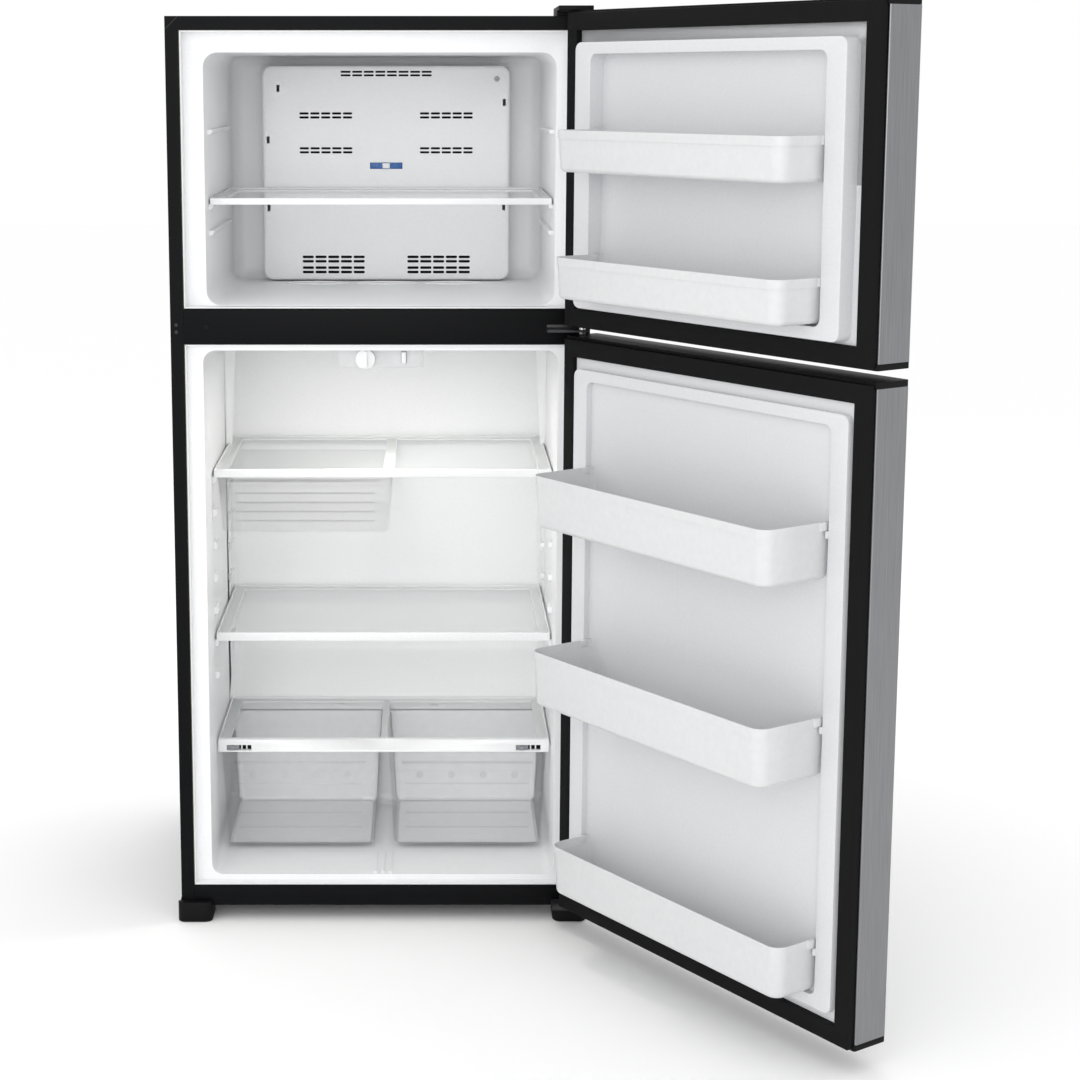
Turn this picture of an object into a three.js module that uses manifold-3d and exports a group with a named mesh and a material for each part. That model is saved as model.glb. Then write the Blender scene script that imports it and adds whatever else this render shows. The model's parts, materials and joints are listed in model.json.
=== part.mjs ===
// A top freezer refrigerator with both doors standing open.
// Millimetres. X runs to the right, Y from the front to the back, Z up.
// The pieces are drawn from the floor up, with Y zero at the cabinet's front face.
// The finished group is moved so that its origin is the centre of the base frame's underside.

import * as THREE from "three";
import { mergeVertices } from "three/addons/utils/BufferGeometryUtils.js";
import Module from "manifold-3d";

const wasm = await Module();
wasm.setup();

// ---------- driving dimensions ----------

const fitGap = 0.3; // between pieces that touch
const slideGap = 1.5; // between a sliding piece and what guides it
const steel = 1.2; // sheet of the cabinet, the doors and the rear panel
const plastic = 3; // wall of the liners and housings

// cabinet
const cabinetWidth = 762;
const cabinetDepth = 650;
const floorClearance = 28;
const cabinetTop = 1685;
const frameWidth = 24; // face of the side stiles and of the top rail
const freezerOpening = 498; // height of the freezer opening
const railHeight = 64; // face of the centre rail
const fridgeSillZ = 66; // lower edge of the fresh food opening

// liners
const linerSetback = 4;
const freezerStepDepth = 36;
const fridgeStepDepth = 24;
const freezerWall = 63; // cabinet side to the inner face of the liner
const fridgeWall = 56;
const freezerCeiling = 39; // below the top edge of the opening
const freezerFloorRise = 4;
const freezerBackWall = 60; // cabinet's back to the inner face of the liner
const fridgeCeiling = 14;
const fridgeFloorRise = 14;
const fridgeBackWall = 95;
const humpDepth = 209; // the floor's rear step, over the compressor, from the cabinet's back
const humpTopZ = 300;
const humpBackZ = 392;

// base frame and compressor bay
const panSheet = 2;
const panPress = 0.8; // how far the panel pressed in the pan stands below it
const panLip = 22;
const rollerRadius = 13.5;
const rollerSetback = 45; // axle to the cabinet's back
const rollerInset = 63; // roller to the cabinet's side
const axleRadius = 3;
const bayDepth = 164;
const bayTopZ = 268;
const bayWall = 4; // cabinet side to the bay's cover

// shelves
const freezerShelfRise = 192; // above the freezer's floor
const freezerShelfFrontY = 85;
const freezerShelfGap = 8; // shelf to the evaporator cover
const freezerShelfTrim = 12;
const freezerRibRises = [131, 316]; // spare supports, above the freezer's floor
const shelfFrontY = 140;
const shelfBackGap = 10;
const shelfTrim = 16;
const supportLowZ = 443;
const supportPitch = 64;
const supportHeadroom = 200; // left over the highest support
const supportReach = 8; // from the wall, under the shelf's edge
const shelfSteps = 5; // supports from the middle shelf up to the upper one
const glass = 4;
const shelfSideClearance = 4;
const shelfRail = 22; // width of a shelf's side rails

// crispers and deli drawer
const crisperCoverZ = 310;
const crisperCoverTrim = 25;
const crisperBottomZ = 90;
const drawerWall = 2.5;
const crisperTaper = 10;
const dividerWidth = 17;
const deliWidth = 338;
const deliHeight = 108;
const deliBackGap = 75;
const deliTaper = 6;
const ventWidth = 48; // humidity window
const ventHeight = 11;
const ventInset = 16;

// evaporator cover
const coverWidth = 502;
const coverTopGap = 20;
const coverDepth = 74;
const coverCorner = 20;

// doors
const doorSideGap = 1; // cabinet side to the door's side
const doorThickness = 70;
const doorGap = 13; // cabinet face to the door's inner face
const freezerDoorDrop = 26; // below the freezer opening
const freezerDoorRise = 8; // above the cabinet's top
const fridgeDoorLift = 14; // above the cabinet's lower edge
const fridgeDoorRise = 20.6; // above the fresh food opening
const capHeight = 10;
const gasketInset = 4;
const gasketReach = 7; // past the hinge pin, short enough to clear the cabinet as the door swings
const linerInset = 35;
const recessDepth = 12;
const hingeInset = 16; // pin to the door's edge
const hingeForward = 36; // pin to the cabinet's face
const pinRadius = 5;
const pinClearance = 0.6;
const doorOpenAngle = 124.6;

// handles
const handleInset = 64;
const handleStandoff = 42;
const handleWidth = 22;
const handleBar = 14;

// ---------- values that follow ----------

const halfWidth = cabinetWidth / 2;
const halfOpening = halfWidth - frameWidth;
const freezerTopZ = cabinetTop - frameWidth;
const freezerSillZ = freezerTopZ - freezerOpening;
const fridgeTopZ = freezerSillZ - railHeight;
const freezerHalf = halfWidth - freezerWall;
const fridgeHalf = halfWidth - fridgeWall;
const freezerCeilingZ = freezerTopZ - freezerCeiling;
const freezerFloorZ = freezerSillZ + freezerFloorRise;
const fridgeCeilingZ = fridgeTopZ - fridgeCeiling;
const fridgeFloorZ = fridgeSillZ + fridgeFloorRise;
const freezerBackY = cabinetDepth - freezerBackWall;
const fridgeBackY = cabinetDepth - fridgeBackWall;
const humpFrontY = cabinetDepth - humpDepth;
const rollerY = cabinetDepth - rollerSetback;
const rollerX = halfWidth - rollerInset;
const bayFrontY = cabinetDepth - bayDepth;
const coverTopZ = freezerCeilingZ - coverTopGap;
const coverFrontY = freezerBackY - coverDepth;
const freezerShelfZ = freezerFloorZ + freezerShelfRise;
const freezerShelfBackY = coverFrontY - freezerShelfGap;
const shelfBackY = fridgeBackY - shelfBackGap;
const supportRoom = fridgeCeilingZ - supportHeadroom - supportLowZ;
const supportCount = Math.floor(supportRoom / supportPitch) + 1;
const upperShelfStep = supportCount - 1;
const middleShelfStep = upperShelfStep - shelfSteps;
const deliDepth = shelfBackY - shelfFrontY - deliBackGap;
const doorWidth = cabinetWidth - 2 * doorSideGap;
const freezerDoorBottom = freezerSillZ - freezerDoorDrop;
const freezerDoorTop = cabinetTop + freezerDoorRise;
const fridgeDoorBottom = floorClearance + fridgeDoorLift;
const fridgeDoorTop = fridgeTopZ + fridgeDoorRise;
const pinX = doorWidth / 2 - hingeInset;
const pinY = -hingeForward;
const doorInnerY = -doorGap;
const doorOuterY = doorInnerY - doorThickness;
const halfDoor = doorWidth / 2;

// ---------- solids ----------

function solid(geometry) {
  const bare = geometry.index ? geometry.toNonIndexed() : geometry.clone();
  bare.deleteAttribute("normal");
  bare.deleteAttribute("uv");
  const merged = mergeVertices(bare, 1e-4);
  const mesh = new wasm.Mesh({
    numProp: 3,
    vertProperties: merged.attributes.position.array,
    triVerts: new Uint32Array(merged.index.array),
  });
  return new wasm.Manifold(mesh);
}

function geometryOf(manifold) {
  const mesh = manifold.getMesh();
  const geometry = new THREE.BufferGeometry();
  geometry.setAttribute("position", new THREE.BufferAttribute(mesh.vertProperties, 3));
  geometry.setIndex(new THREE.BufferAttribute(mesh.triVerts, 1));
  geometry.computeVertexNormals();
  return geometry;
}

function join(parts) {
  return parts.reduce((whole, part) => whole.add(part));
}

function cut(body, tools) {
  return tools.reduce((whole, tool) => whole.subtract(tool), body);
}

// A box between two corners.
function box(x0, y0, z0, x1, y1, z1) {
  const geometry = new THREE.BoxGeometry(x1 - x0, y1 - y0, z1 - z0);
  geometry.translate((x0 + x1) / 2, (y0 + y1) / 2, (z0 + z1) / 2);
  return solid(geometry);
}

// A box as wide on the left of the centre plane as on the right.
function wideBox(half, y0, z0, y1, z1) {
  return box(-half, y0, z0, half, y1, z1);
}

// A box whose lower face is drawn in on the sides, the front and the back.
function taperedBox(x0, y0, z0, x1, y1, z1, inset) {
  const geometry = new THREE.BoxGeometry(x1 - x0, y1 - y0, z1 - z0);
  const position = geometry.attributes.position;
  for (let i = 0; i < position.count; i += 1) {
    if (position.getZ(i) < 0) {
      position.setX(i, position.getX(i) - Math.sign(position.getX(i)) * inset);
      position.setY(i, position.getY(i) - Math.sign(position.getY(i)) * inset);
    }
  }
  geometry.translate((x0 + x1) / 2, (y0 + y1) / 2, (z0 + z1) / 2);
  return solid(geometry);
}

// A round bar along an axis, from one end to the other.
function bar(axis, radius, from, to, a, b, segments = 20) {
  const geometry = new THREE.CylinderGeometry(radius, radius, to - from, segments);
  const middle = (from + to) / 2;
  if (axis === "x") {
    geometry.rotateZ(Math.PI / 2);
    geometry.translate(middle, a, b);
  } else if (axis === "y") {
    geometry.translate(a, middle, b);
  } else {
    geometry.rotateX(Math.PI / 2);
    geometry.translate(a, b, middle);
  }
  return solid(geometry);
}

function outline(points) {
  return new THREE.Shape(points.map(([x, y]) => new THREE.Vector2(x, y)));
}

// A rectangle with round corners, about a centre.
function roundedOutline(width, height, radius) {
  const x = width / 2;
  const y = height / 2;
  const r = Math.min(radius, x - 0.01, y - 0.01);
  const shape = new THREE.Shape();
  shape.moveTo(-x + r, -y);
  shape.lineTo(x - r, -y);
  shape.absarc(x - r, -y + r, r, -Math.PI / 2, 0);
  shape.lineTo(x, y - r);
  shape.absarc(x - r, y - r, r, 0, Math.PI / 2);
  shape.lineTo(-x + r, y);
  shape.absarc(-x + r, y - r, r, Math.PI / 2, Math.PI);
  shape.lineTo(-x, -y + r);
  shape.absarc(-x + r, -y + r, r, Math.PI, Math.PI * 1.5);
  return shape;
}

// An outline drawn in Y and Z, carried along X.
function alongX(shape, x0, x1, curveSegments = 4) {
  const options = { depth: x1 - x0, bevelEnabled: false, curveSegments };
  const geometry = new THREE.ExtrudeGeometry(shape, options);
  const turn = new THREE.Matrix4().set(0, 0, 1, x0, 1, 0, 0, 0, 0, 1, 0, 0, 0, 0, 0, 1);
  geometry.applyMatrix4(turn);
  return solid(geometry);
}

// An outline drawn in X and Z about a centre, carried from one Y to another.
function alongY(shape, x, z, y0, y1, curveSegments = 4) {
  const options = { depth: y1 - y0, bevelEnabled: false, curveSegments };
  const geometry = new THREE.ExtrudeGeometry(shape, options);
  geometry.rotateX(Math.PI / 2);
  geometry.translate(x, y1, z);
  return solid(geometry);
}

// An outline drawn in X and Y about a centre, carried from one Z to another.
function alongZ(shape, x, y, z0, z1, curveSegments = 4) {
  const options = { depth: z1 - z0, bevelEnabled: false, curveSegments };
  const geometry = new THREE.ExtrudeGeometry(shape, options);
  geometry.translate(x, y, z0);
  return solid(geometry);
}

// ---------- materials and the scene ----------

const finishes = {
  blackPaint: { color: 0x1b1c1e, roughness: 0.45, metalness: 0.1 },
  stainless: { color: 0x9fa1a4, roughness: 0.35, metalness: 0.9 },
  whiteLiner: { color: 0xf1f2f3, roughness: 0.35, metalness: 0 },
  whiteTrim: { color: 0xf6f7f7, roughness: 0.3, metalness: 0 },
  blackPlastic: { color: 0x16171a, roughness: 0.5, metalness: 0 },
  gasket: { color: 0x101113, roughness: 0.7, metalness: 0 },
  foam: { color: 0xe8d9a8, roughness: 0.9, metalness: 0 },
  glass: { color: 0xdfeeee, roughness: 0.05, metalness: 0 },
  clear: { color: 0xe9eef0, roughness: 0.1, metalness: 0 },
  zinc: { color: 0xb4b7ba, roughness: 0.4, metalness: 0.8 },
  copper: { color: 0xb87342, roughness: 0.35, metalness: 0.9 },
  aluminium: { color: 0xc9cccf, roughness: 0.35, metalness: 0.9 },
  greyPlastic: { color: 0x8b8e92, roughness: 0.5, metalness: 0 },
  blueSlide: { color: 0x2f6fb4, roughness: 0.4, metalness: 0 },
};

const refrigerator = new THREE.Group();
refrigerator.position.set(0, -cabinetDepth / 2, -floorClearance);

// The doors are drawn shut, in groups that turn about the hinge pins.
function doorGroup() {
  const hinge = new THREE.Group();
  hinge.position.set(pinX, pinY, 0);
  hinge.rotation.z = THREE.MathUtils.degToRad(doorOpenAngle);
  const door = new THREE.Group();
  door.position.set(-pinX, -pinY, 0);
  hinge.add(door);
  refrigerator.add(hinge);
  return door;
}

function add(name, body, finish, parent = refrigerator) {
  const material = new THREE.MeshStandardMaterial(finishes[finish]);
  const mesh = new THREE.Mesh(geometryOf(body), material);
  mesh.name = name;
  parent.add(mesh);
}

// ---------- cabinet ----------

function cabinetShell() {
  const outer = wideBox(halfWidth, 0, floorClearance, cabinetDepth, cabinetTop);
  const inner = wideBox(
    halfWidth - steel, steel, floorClearance - 1, cabinetDepth + 1, cabinetTop - steel,
  );
  const opening = wideBox(halfOpening, -1, floorClearance - 1, steel + 1, freezerTopZ);
  return cut(outer, [inner, opening]);
}

function rearPanel() {
  const half = halfWidth - steel - fitGap;
  const back = cabinetDepth - fitGap;
  const top = cabinetTop - steel - fitGap;
  const wall = wideBox(half, back - steel, bayTopZ, back, top);
  const roof = wideBox(half, bayFrontY, bayTopZ, back, bayTopZ + steel);
  const low = floorClearance + panLip + fitGap;
  const front = wideBox(half, bayFrontY, low, bayFrontY + steel, bayTopZ + steel);
  return join([wall, roof, front]);
}

function centreRail() {
  const low = fridgeTopZ + fitGap;
  const high = freezerSillZ - fitGap;
  const half = halfOpening - fitGap;
  const channel = wideBox(half, 0, low, 14, high);
  const hollow = wideBox(half - 2, steel, low + steel, 15, high - steel);
  return cut(channel, [hollow]);
}

function baseFrame() {
  const half = halfOpening - fitGap;
  const low = floorClearance;
  const rail = wideBox(half, 0, low, 10, fridgeSillZ - fitGap);
  const hollow = wideBox(half - 2, steel, low + 2, 11, fridgeSillZ - fitGap - steel);
  const inner = halfWidth - steel - fitGap;
  const back = cabinetDepth - 8;
  const pan = wideBox(inner, steel + fitGap, low + panPress, back, low + panSheet);
  const panel = wideBox(halfWidth / 2, cabinetDepth * 0.25, low, cabinetDepth * 0.85, low + panSheet);
  const sides = [-1, 1].map((side) => {
    const x = side * (inner - panSheet / 2);
    return box(x - panSheet / 2, 20, low + panPress, x + panSheet / 2, back, low + panLip);
  });
  const lugs = [-1, 1].map((side) => {
    const x = side * (rollerX - 20);
    const lug = box(x - 2, rollerY - 10, rollerRadius - 7, x + 2, rollerY + 10, low + panSheet);
    const bore = bar("x", axleRadius + fitGap, x - 3, x + 3, rollerY, rollerRadius, 12);
    return cut(lug, [bore]);
  });
  return join([cut(rail, [hollow]), pan, panel, ...sides, ...lugs]);
}

function foamBlock() {
  const half = halfWidth - steel - fitGap;
  const back = cabinetDepth - steel - 2 * fitGap;
  const top = cabinetTop - steel - fitGap;
  const block = wideBox(half, 16, floorClearance + panLip + 4, back, top);
  const bay = wideBox(half + 1, bayFrontY - fitGap, 0, back + 1, bayTopZ + steel + fitGap);
  return cut(block, [bay, freezerHollow(plastic + fitGap), fridgeHollow(plastic + fitGap)]);
}

// ---------- liners ----------

// The freezer's inside, grown by a wall. The step leaves room for the door's dyke.
function freezerHollow(wall) {
  const step = wideBox(
    halfOpening - plastic - fitGap + wall,
    linerSetback - 20,
    freezerSillZ + plastic + fitGap - wall,
    freezerStepDepth + wall,
    freezerTopZ - plastic - fitGap + wall,
  );
  const cave = wideBox(
    freezerHalf + wall, 0, freezerFloorZ - wall, freezerBackY + wall, freezerCeilingZ + wall,
  );
  return step.add(cave);
}

// The fresh food compartment's inside, with the step over the compressor bay.
function fridgeHollow(wall) {
  const step = wideBox(
    halfOpening - plastic - fitGap + wall,
    linerSetback - 20,
    fridgeSillZ + plastic + fitGap - wall,
    fridgeStepDepth + wall,
    fridgeTopZ - plastic - fitGap + wall,
  );
  const section = outline([
    [0, fridgeFloorZ - wall],
    [humpFrontY + wall, fridgeFloorZ - wall],
    [humpFrontY + wall, humpTopZ - wall * 0.5],
    [fridgeBackY + wall, humpBackZ - wall],
    [fridgeBackY + wall, fridgeCeilingZ + wall],
    [0, fridgeCeilingZ + wall],
  ]);
  const half = fridgeHalf + wall;
  return step.add(alongX(section, -half, half));
}

// A shelf support: a short ledge with a sloping underside.
function ledge(side, wallX, y0, y1, z, reach, height) {
  const x0 = side * (wallX + 1);
  const x1 = side * (wallX - reach);
  const section = outline([
    [x0, -height],
    [x0, 0],
    [x1, 0],
    [x1, -2],
  ]);
  return alongY(section, 0, z, y0, y1);
}

function freezerLiner() {
  const front = wideBox(
    halfWidth, linerSetback - 40, freezerSillZ - 50, linerSetback, freezerTopZ + 50,
  );
  const shell = cut(freezerHollow(plastic), [freezerHollow(0), front]);
  const ribs = [-1, 1].flatMap((side) =>
    freezerRibRises
      .map((rise) => freezerFloorZ + rise)
      .concat(freezerShelfZ - freezerShelfTrim - fitGap)
      .map((z) => ledge(side, freezerHalf, freezerShelfFrontY + 15, freezerShelfBackY - 38, z, 9, 9)),
  );
  const airSlot = wideBox(
    60, freezerBackY - 1, freezerFloorZ + 20, freezerBackY + 10, freezerFloorZ + 33,
  );
  return cut(join([shell, ...ribs]), [airSlot]);
}

function supportZ(step) {
  return supportLowZ + step * supportPitch;
}

function fridgeLiner() {
  const front = wideBox(
    halfWidth, linerSetback - 40, fridgeSillZ - 50, linerSetback, fridgeTopZ + 50,
  );
  const shell = cut(fridgeHollow(plastic), [fridgeHollow(0), front]);
  const hooks = [];
  for (const side of [-1, 1]) {
    for (let step = 0; step < supportCount; step += 1) {
      for (const [y0, y1] of [[shelfFrontY + 12, shelfFrontY + 52], [shelfBackY - 105, shelfBackY - 55]]) {
        hooks.push(ledge(side, fridgeHalf, y0, y1, supportZ(step), supportReach, 14));
      }
    }
    const coverLedge = crisperCoverZ - crisperCoverTrim + 9;
    hooks.push(ledge(side, fridgeHalf, shelfFrontY + 30, coverBackY - 8, coverLedge, supportReach, 8));
  }
  return join([shell, ...hooks]);
}

// ---------- shelves ----------

// A frame of trims round a sheet of glass.
function shelfFrame(half, y0, y1, top, trim, rail) {
  const low = top - trim;
  const outer = wideBox(half, y0, low, y1, top);
  const through = wideBox(half - rail, y0 + rail * 0.7, low - 1, y1 - rail * 0.7, top + 1);
  const seat = wideBox(
    half - 3, y0 + 6, top - glass - 0.5, y1 - 6, top + 1,
  );
  const under = wideBox(half - rail, y0 + 6, low - 1, y1 + 1, top - glass - 5);
  return cut(outer, [through, seat, under]);
}

function shelfGlass(half, y0, y1, top) {
  return wideBox(half - 3 - fitGap, y0 + 6 + fitGap, top - glass - 0.2, y1 - 6 - fitGap, top - 0.2);
}

const freezerShelfHalf = freezerHalf - shelfSideClearance;
const fridgeShelfHalf = fridgeHalf - shelfSideClearance;
const upperShelfZ = supportZ(upperShelfStep) + shelfTrim + fitGap;
const middleShelfZ = supportZ(middleShelfStep) + shelfTrim + fitGap;

// The deli drawer hangs from a rail under the glass and from the frame's left side.
const deliLeft = -fridgeHalf + supportReach + slideGap;
const deliRight = deliLeft + deliWidth;
const deliTop = upperShelfZ - shelfTrim - fitGap;

function upperShelfFrame() {
  const frame = shelfFrame(
    fridgeShelfHalf, shelfFrontY, shelfBackY, upperShelfZ, shelfTrim, shelfRail,
  );
  const bottom = upperShelfZ - shelfTrim;
  const middleBar = box(
    deliRight - shelfRail, shelfFrontY + 8, bottom, deliRight, shelfBackY - 8,
    upperShelfZ - glass - 0.5,
  );
  return frame.add(middleBar);
}

// ---------- crispers ----------

const coverHalf = fridgeShelfHalf;
const coverBackY = humpFrontY - 3;
const coverLowZ = crisperCoverZ - crisperCoverTrim;

function ventX(side) {
  const middle = coverHalf - ventInset - ventWidth / 2;
  return [side * middle - ventWidth / 2, side * middle + ventWidth / 2];
}

function crisperCoverFrame() {
  const frontTrim = wideBox(coverHalf, shelfFrontY, coverLowZ, shelfFrontY + 14, crisperCoverZ);
  const ring = cut(
    wideBox(coverHalf, shelfFrontY + 10, crisperCoverZ - 10, coverBackY, crisperCoverZ),
    [
      wideBox(coverHalf - shelfRail, shelfFrontY + 24, 0, coverBackY - 14, crisperCoverZ + 1),
      wideBox(
        coverHalf - 3, shelfFrontY + 14, crisperCoverZ - glass - 0.5, coverBackY - 6,
        crisperCoverZ + 1,
      ),
    ],
  );
  const rearBar = wideBox(coverHalf - 20, coverBackY - 8, coverLowZ, coverBackY, crisperCoverZ - 6);
  const divider = box(
    -dividerWidth / 2 + 2, shelfFrontY + 10, coverLowZ, dividerWidth / 2 - 2, coverBackY,
    crisperCoverZ - glass - 0.5,
  );
  const windows = [-1, 1].map((side) => {
    const [x0, x1] = ventX(side);
    return box(x0, shelfFrontY - 1, coverLowZ + 3, x1, shelfFrontY + 15, coverLowZ + 3 + ventHeight);
  });
  return cut(join([frontTrim, ring, rearBar, divider]), windows);
}

function crisperCoverGlass() {
  return wideBox(
    coverHalf - 3 - fitGap, shelfFrontY + 14 + fitGap, crisperCoverZ - glass - 0.2,
    coverBackY - 6 - fitGap, crisperCoverZ - 0.2,
  );
}

// The slide covers the left part of its window and moves right to open it.
function humiditySlide(side) {
  const [x0] = ventX(side);
  const low = coverLowZ + 3 + 0.5;
  const high = coverLowZ + 3 + ventHeight - 0.5;
  const plate = box(x0 + 0.6, shelfFrontY + 4, low, x0 + 24, shelfFrontY + 6, high);
  const knob = box(x0 + 8, shelfFrontY - 3, low + 2, x0 + 16, shelfFrontY + 4.5, high - 2);
  return plate.add(knob);
}

// An open bin that narrows downwards, with a rim and a finger lip at the front.
function drawer(x0, y0, z0, x1, y1, z1, taper, lip) {
  const w = drawerWall;
  const outer = taperedBox(x0, y0, z0, x1, y1, z1, taper);
  const inner = taperedBox(x0 + w, y0 + w, z0 + w, x1 - w, y1 - w, z1 + 1, taper);
  const grip = box(x0 + 4, y0 - 8, z1 - lip, x1 - 4, y0 + w, z1 - lip + 3);
  return cut(outer, [inner]).add(grip);
}

const crisperTop = coverLowZ - slideGap;
const crisperFrontY = shelfFrontY + 6;
const crisperBackY = coverBackY - 10;

function crisper(side) {
  const inner = dividerWidth / 2;
  const outer = coverHalf - 4;
  const x0 = side < 0 ? -outer : inner;
  const x1 = side < 0 ? -inner : outer;
  return drawer(
    x0, crisperFrontY, crisperBottomZ, x1, crisperBackY, crisperTop, crisperTaper, 24,
  );
}

// ---------- freezer fittings ----------

const coverHalfWidth = coverWidth / 2;
const coverLowEdge = freezerFloorZ + 3;

// Rows of slots at some drops below the cover's top, or rises above the freezer's floor.
const highRows = [95, 103, 165, 173].map((drop) => coverTopZ - drop);
const lowRows = [50, 41, 28, 19].map((rise) => freezerFloorZ + rise);
const ventRows = [
  { x: 1, width: 184, z: coverTopZ - 12, height: 5 },
  { x: 1, width: 184, z: coverTopZ - 19, height: 5 },
  ...[-121, 123].flatMap((x) => highRows.map((z) => ({ x, width: 108, z, height: 5 }))),
  ...[-107, 108].flatMap((x) => lowRows.map((z) => ({ x, width: 130, z, height: 6 }))),
];

const controlWindow = { x: 1, z: coverTopZ - 200, width: 66, height: 13 };

function evaporatorCover() {
  const height = coverTopZ - coverLowEdge;
  const middle = coverLowEdge + height / 2;
  const back = freezerBackY - fitGap;
  const outer = alongY(
    roundedOutline(coverWidth, height, coverCorner), 1, middle, coverFrontY, back,
  );
  const inner = alongY(
    roundedOutline(coverWidth - 2 * plastic, height - 2 * plastic, coverCorner - plastic),
    1, middle, coverFrontY + plastic, back + 1,
  );
  const slots = ventRows.map((row) =>
    box(
      row.x - row.width / 2, coverFrontY - 1, row.z - row.height / 2,
      row.x + row.width / 2, coverFrontY + plastic + 1, row.z + row.height / 2,
    ),
  );
  const w = controlWindow;
  const window = box(
    w.x - w.width / 2, coverFrontY - 1, w.z - w.height / 2,
    w.x + w.width / 2, coverFrontY + plastic + 1, w.z + w.height / 2,
  );
  return cut(outer, [inner, ...slots, window]);
}

function airflowSlide() {
  const w = controlWindow;
  const half = w.height / 2 - 0.8;
  const tab = box(w.x - 6, coverFrontY - 3, w.z - half, w.x + 6, coverFrontY + 4, w.z + half);
  const plate = box(w.x - 14, coverFrontY + 4, w.z - 11, w.x + 14, coverFrontY + 6, w.z + 11);
  return tab.add(plate);
}

function evaporatorCoil() {
  const y0 = coverFrontY + 14;
  const y1 = freezerBackY - 8;
  const low = freezerFloorZ + 65;
  const high = low + 156;
  const half = coverHalfWidth - 47;
  const finPitch = (half - 14) / 5;
  const fins = [];
  for (let i = -5; i <= 5; i += 1) {
    const x = i * finPitch;
    fins.push(box(x - 1, y0, low, x + 1, y1, high));
  }
  const tubes = [];
  for (const z of [low + 28, low + 78, low + 128]) {
    for (const y of [y0 + 14, y1 - 14]) {
      tubes.push(bar("x", 4.5, -half, half, y, z, 6));
    }
  }
  const ends = [-1, 1].map((side) => {
    const x = side * (half + 1);
    return box(x - 2, y0 + 4, low + 8, x + 2, y1 - 4, high - 8);
  });
  return join([...fins, ...tubes, ...ends]);
}

const fanZ = coverTopZ - 112;

function fanBlades(radius, depth) {
  const hub = new THREE.CylinderGeometry(radius * 0.3, radius * 0.3, depth, 16);
  const blades = [0, 1, 2, 3].map((turn) => {
    const blade = new THREE.BoxGeometry(radius * 0.52, 1.6, radius * 0.8);
    blade.rotateX(THREE.MathUtils.degToRad(24));
    blade.translate(radius * 0.55, 0, 0);
    blade.rotateY((turn * Math.PI) / 2);
    return solid(blade);
  });
  return join([solid(hub), ...blades]);
}

function evaporatorFanMotor() {
  const y0 = coverFrontY + 42;
  const y1 = freezerBackY - fitGap;
  const motor = bar("y", 22, y0, y1 - 2, 0, fanZ);
  const bracket = box(-80, y1 - 4, fanZ - 12, 80, y1, fanZ + 12);
  return motor.add(bracket);
}

// ---------- controls under the fresh food ceiling ----------

const housing = { x0: -78, x1: 78, y0: 60, y1: 190, height: 35 };
const knobX = -29;
const knobRadius = 18;
const switchX = 42;

function controlHousing() {
  const top = fridgeCeilingZ - fitGap;
  const low = top - housing.height;
  const h = housing;
  const outer = box(h.x0, h.y0, low, h.x1, h.y1, top);
  const lampBay = box(h.x0 + 3, h.y0 + 26, low - 1, h.x1 - 3, h.y1 - 3, top - 3);
  const switchHole = box(
    switchX - 5, h.y0 - 1, low + 7, switchX + 5, h.y0 + 24, low + 29,
  );
  return cut(outer, [lampBay, switchHole]);
}

function temperatureKnob() {
  const z = fridgeCeilingZ - fitGap - housing.height / 2 - 2;
  const y = housing.y0 - fitGap;
  const disc = bar("y", knobRadius, y - 9, y, knobX, z, 28);
  const grip = box(knobX - 3.5, y - 16, z - 15, knobX + 3.5, y - 8, z + 15);
  return disc.add(grip);
}

function lightSwitch() {
  const low = fridgeCeilingZ - fitGap - housing.height;
  return box(
    switchX - 4.5, housing.y0 - 8, low + 7.5, switchX + 4.5, housing.y0 + 16, low + 28.5,
  );
}

// ---------- compressor bay ----------

const panFloor = floorClearance + panSheet + fitGap;
const domeX = -200;
const domeY = bayFrontY + 80;

function compressor() {
  const profile = [
    [0, 0], [58, 0], [70, 14], [74, 40], [74, 110], [65, 140], [42, 158], [0, 164],
  ].map(([r, z]) => new THREE.Vector2(r, z));
  const dome = new THREE.LatheGeometry(profile, 24);
  dome.rotateX(Math.PI / 2);
  dome.translate(domeX, domeY, panFloor + 22);
  const plate = box(domeX - 90, domeY - 46, panFloor + 14, domeX + 90, domeY + 46, panFloor + 18);
  const feet = [[-80, -36], [80, -36], [-80, 36], [80, 36]].map(([x, y]) =>
    bar("z", 9, panFloor, panFloor + 16, domeX + x, domeY + y, 12),
  );
  const neck = bar("z", 50, panFloor + 15, panFloor + 30, domeX, domeY, 24);
  return join([solid(dome), neck, plate, ...feet]);
}

function drainPan() {
  const x0 = halfWidth - 321;
  const x1 = halfWidth - 41;
  const y0 = bayFrontY + 14;
  const y1 = cabinetDepth - 18;
  const outer = box(x0, y0, panFloor, x1, y1, panFloor + 26);
  return cut(outer, [box(x0 + 2, y0 + 2, panFloor + 2, x1 - 2, y1 - 2, panFloor + 27)]);
}

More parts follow.
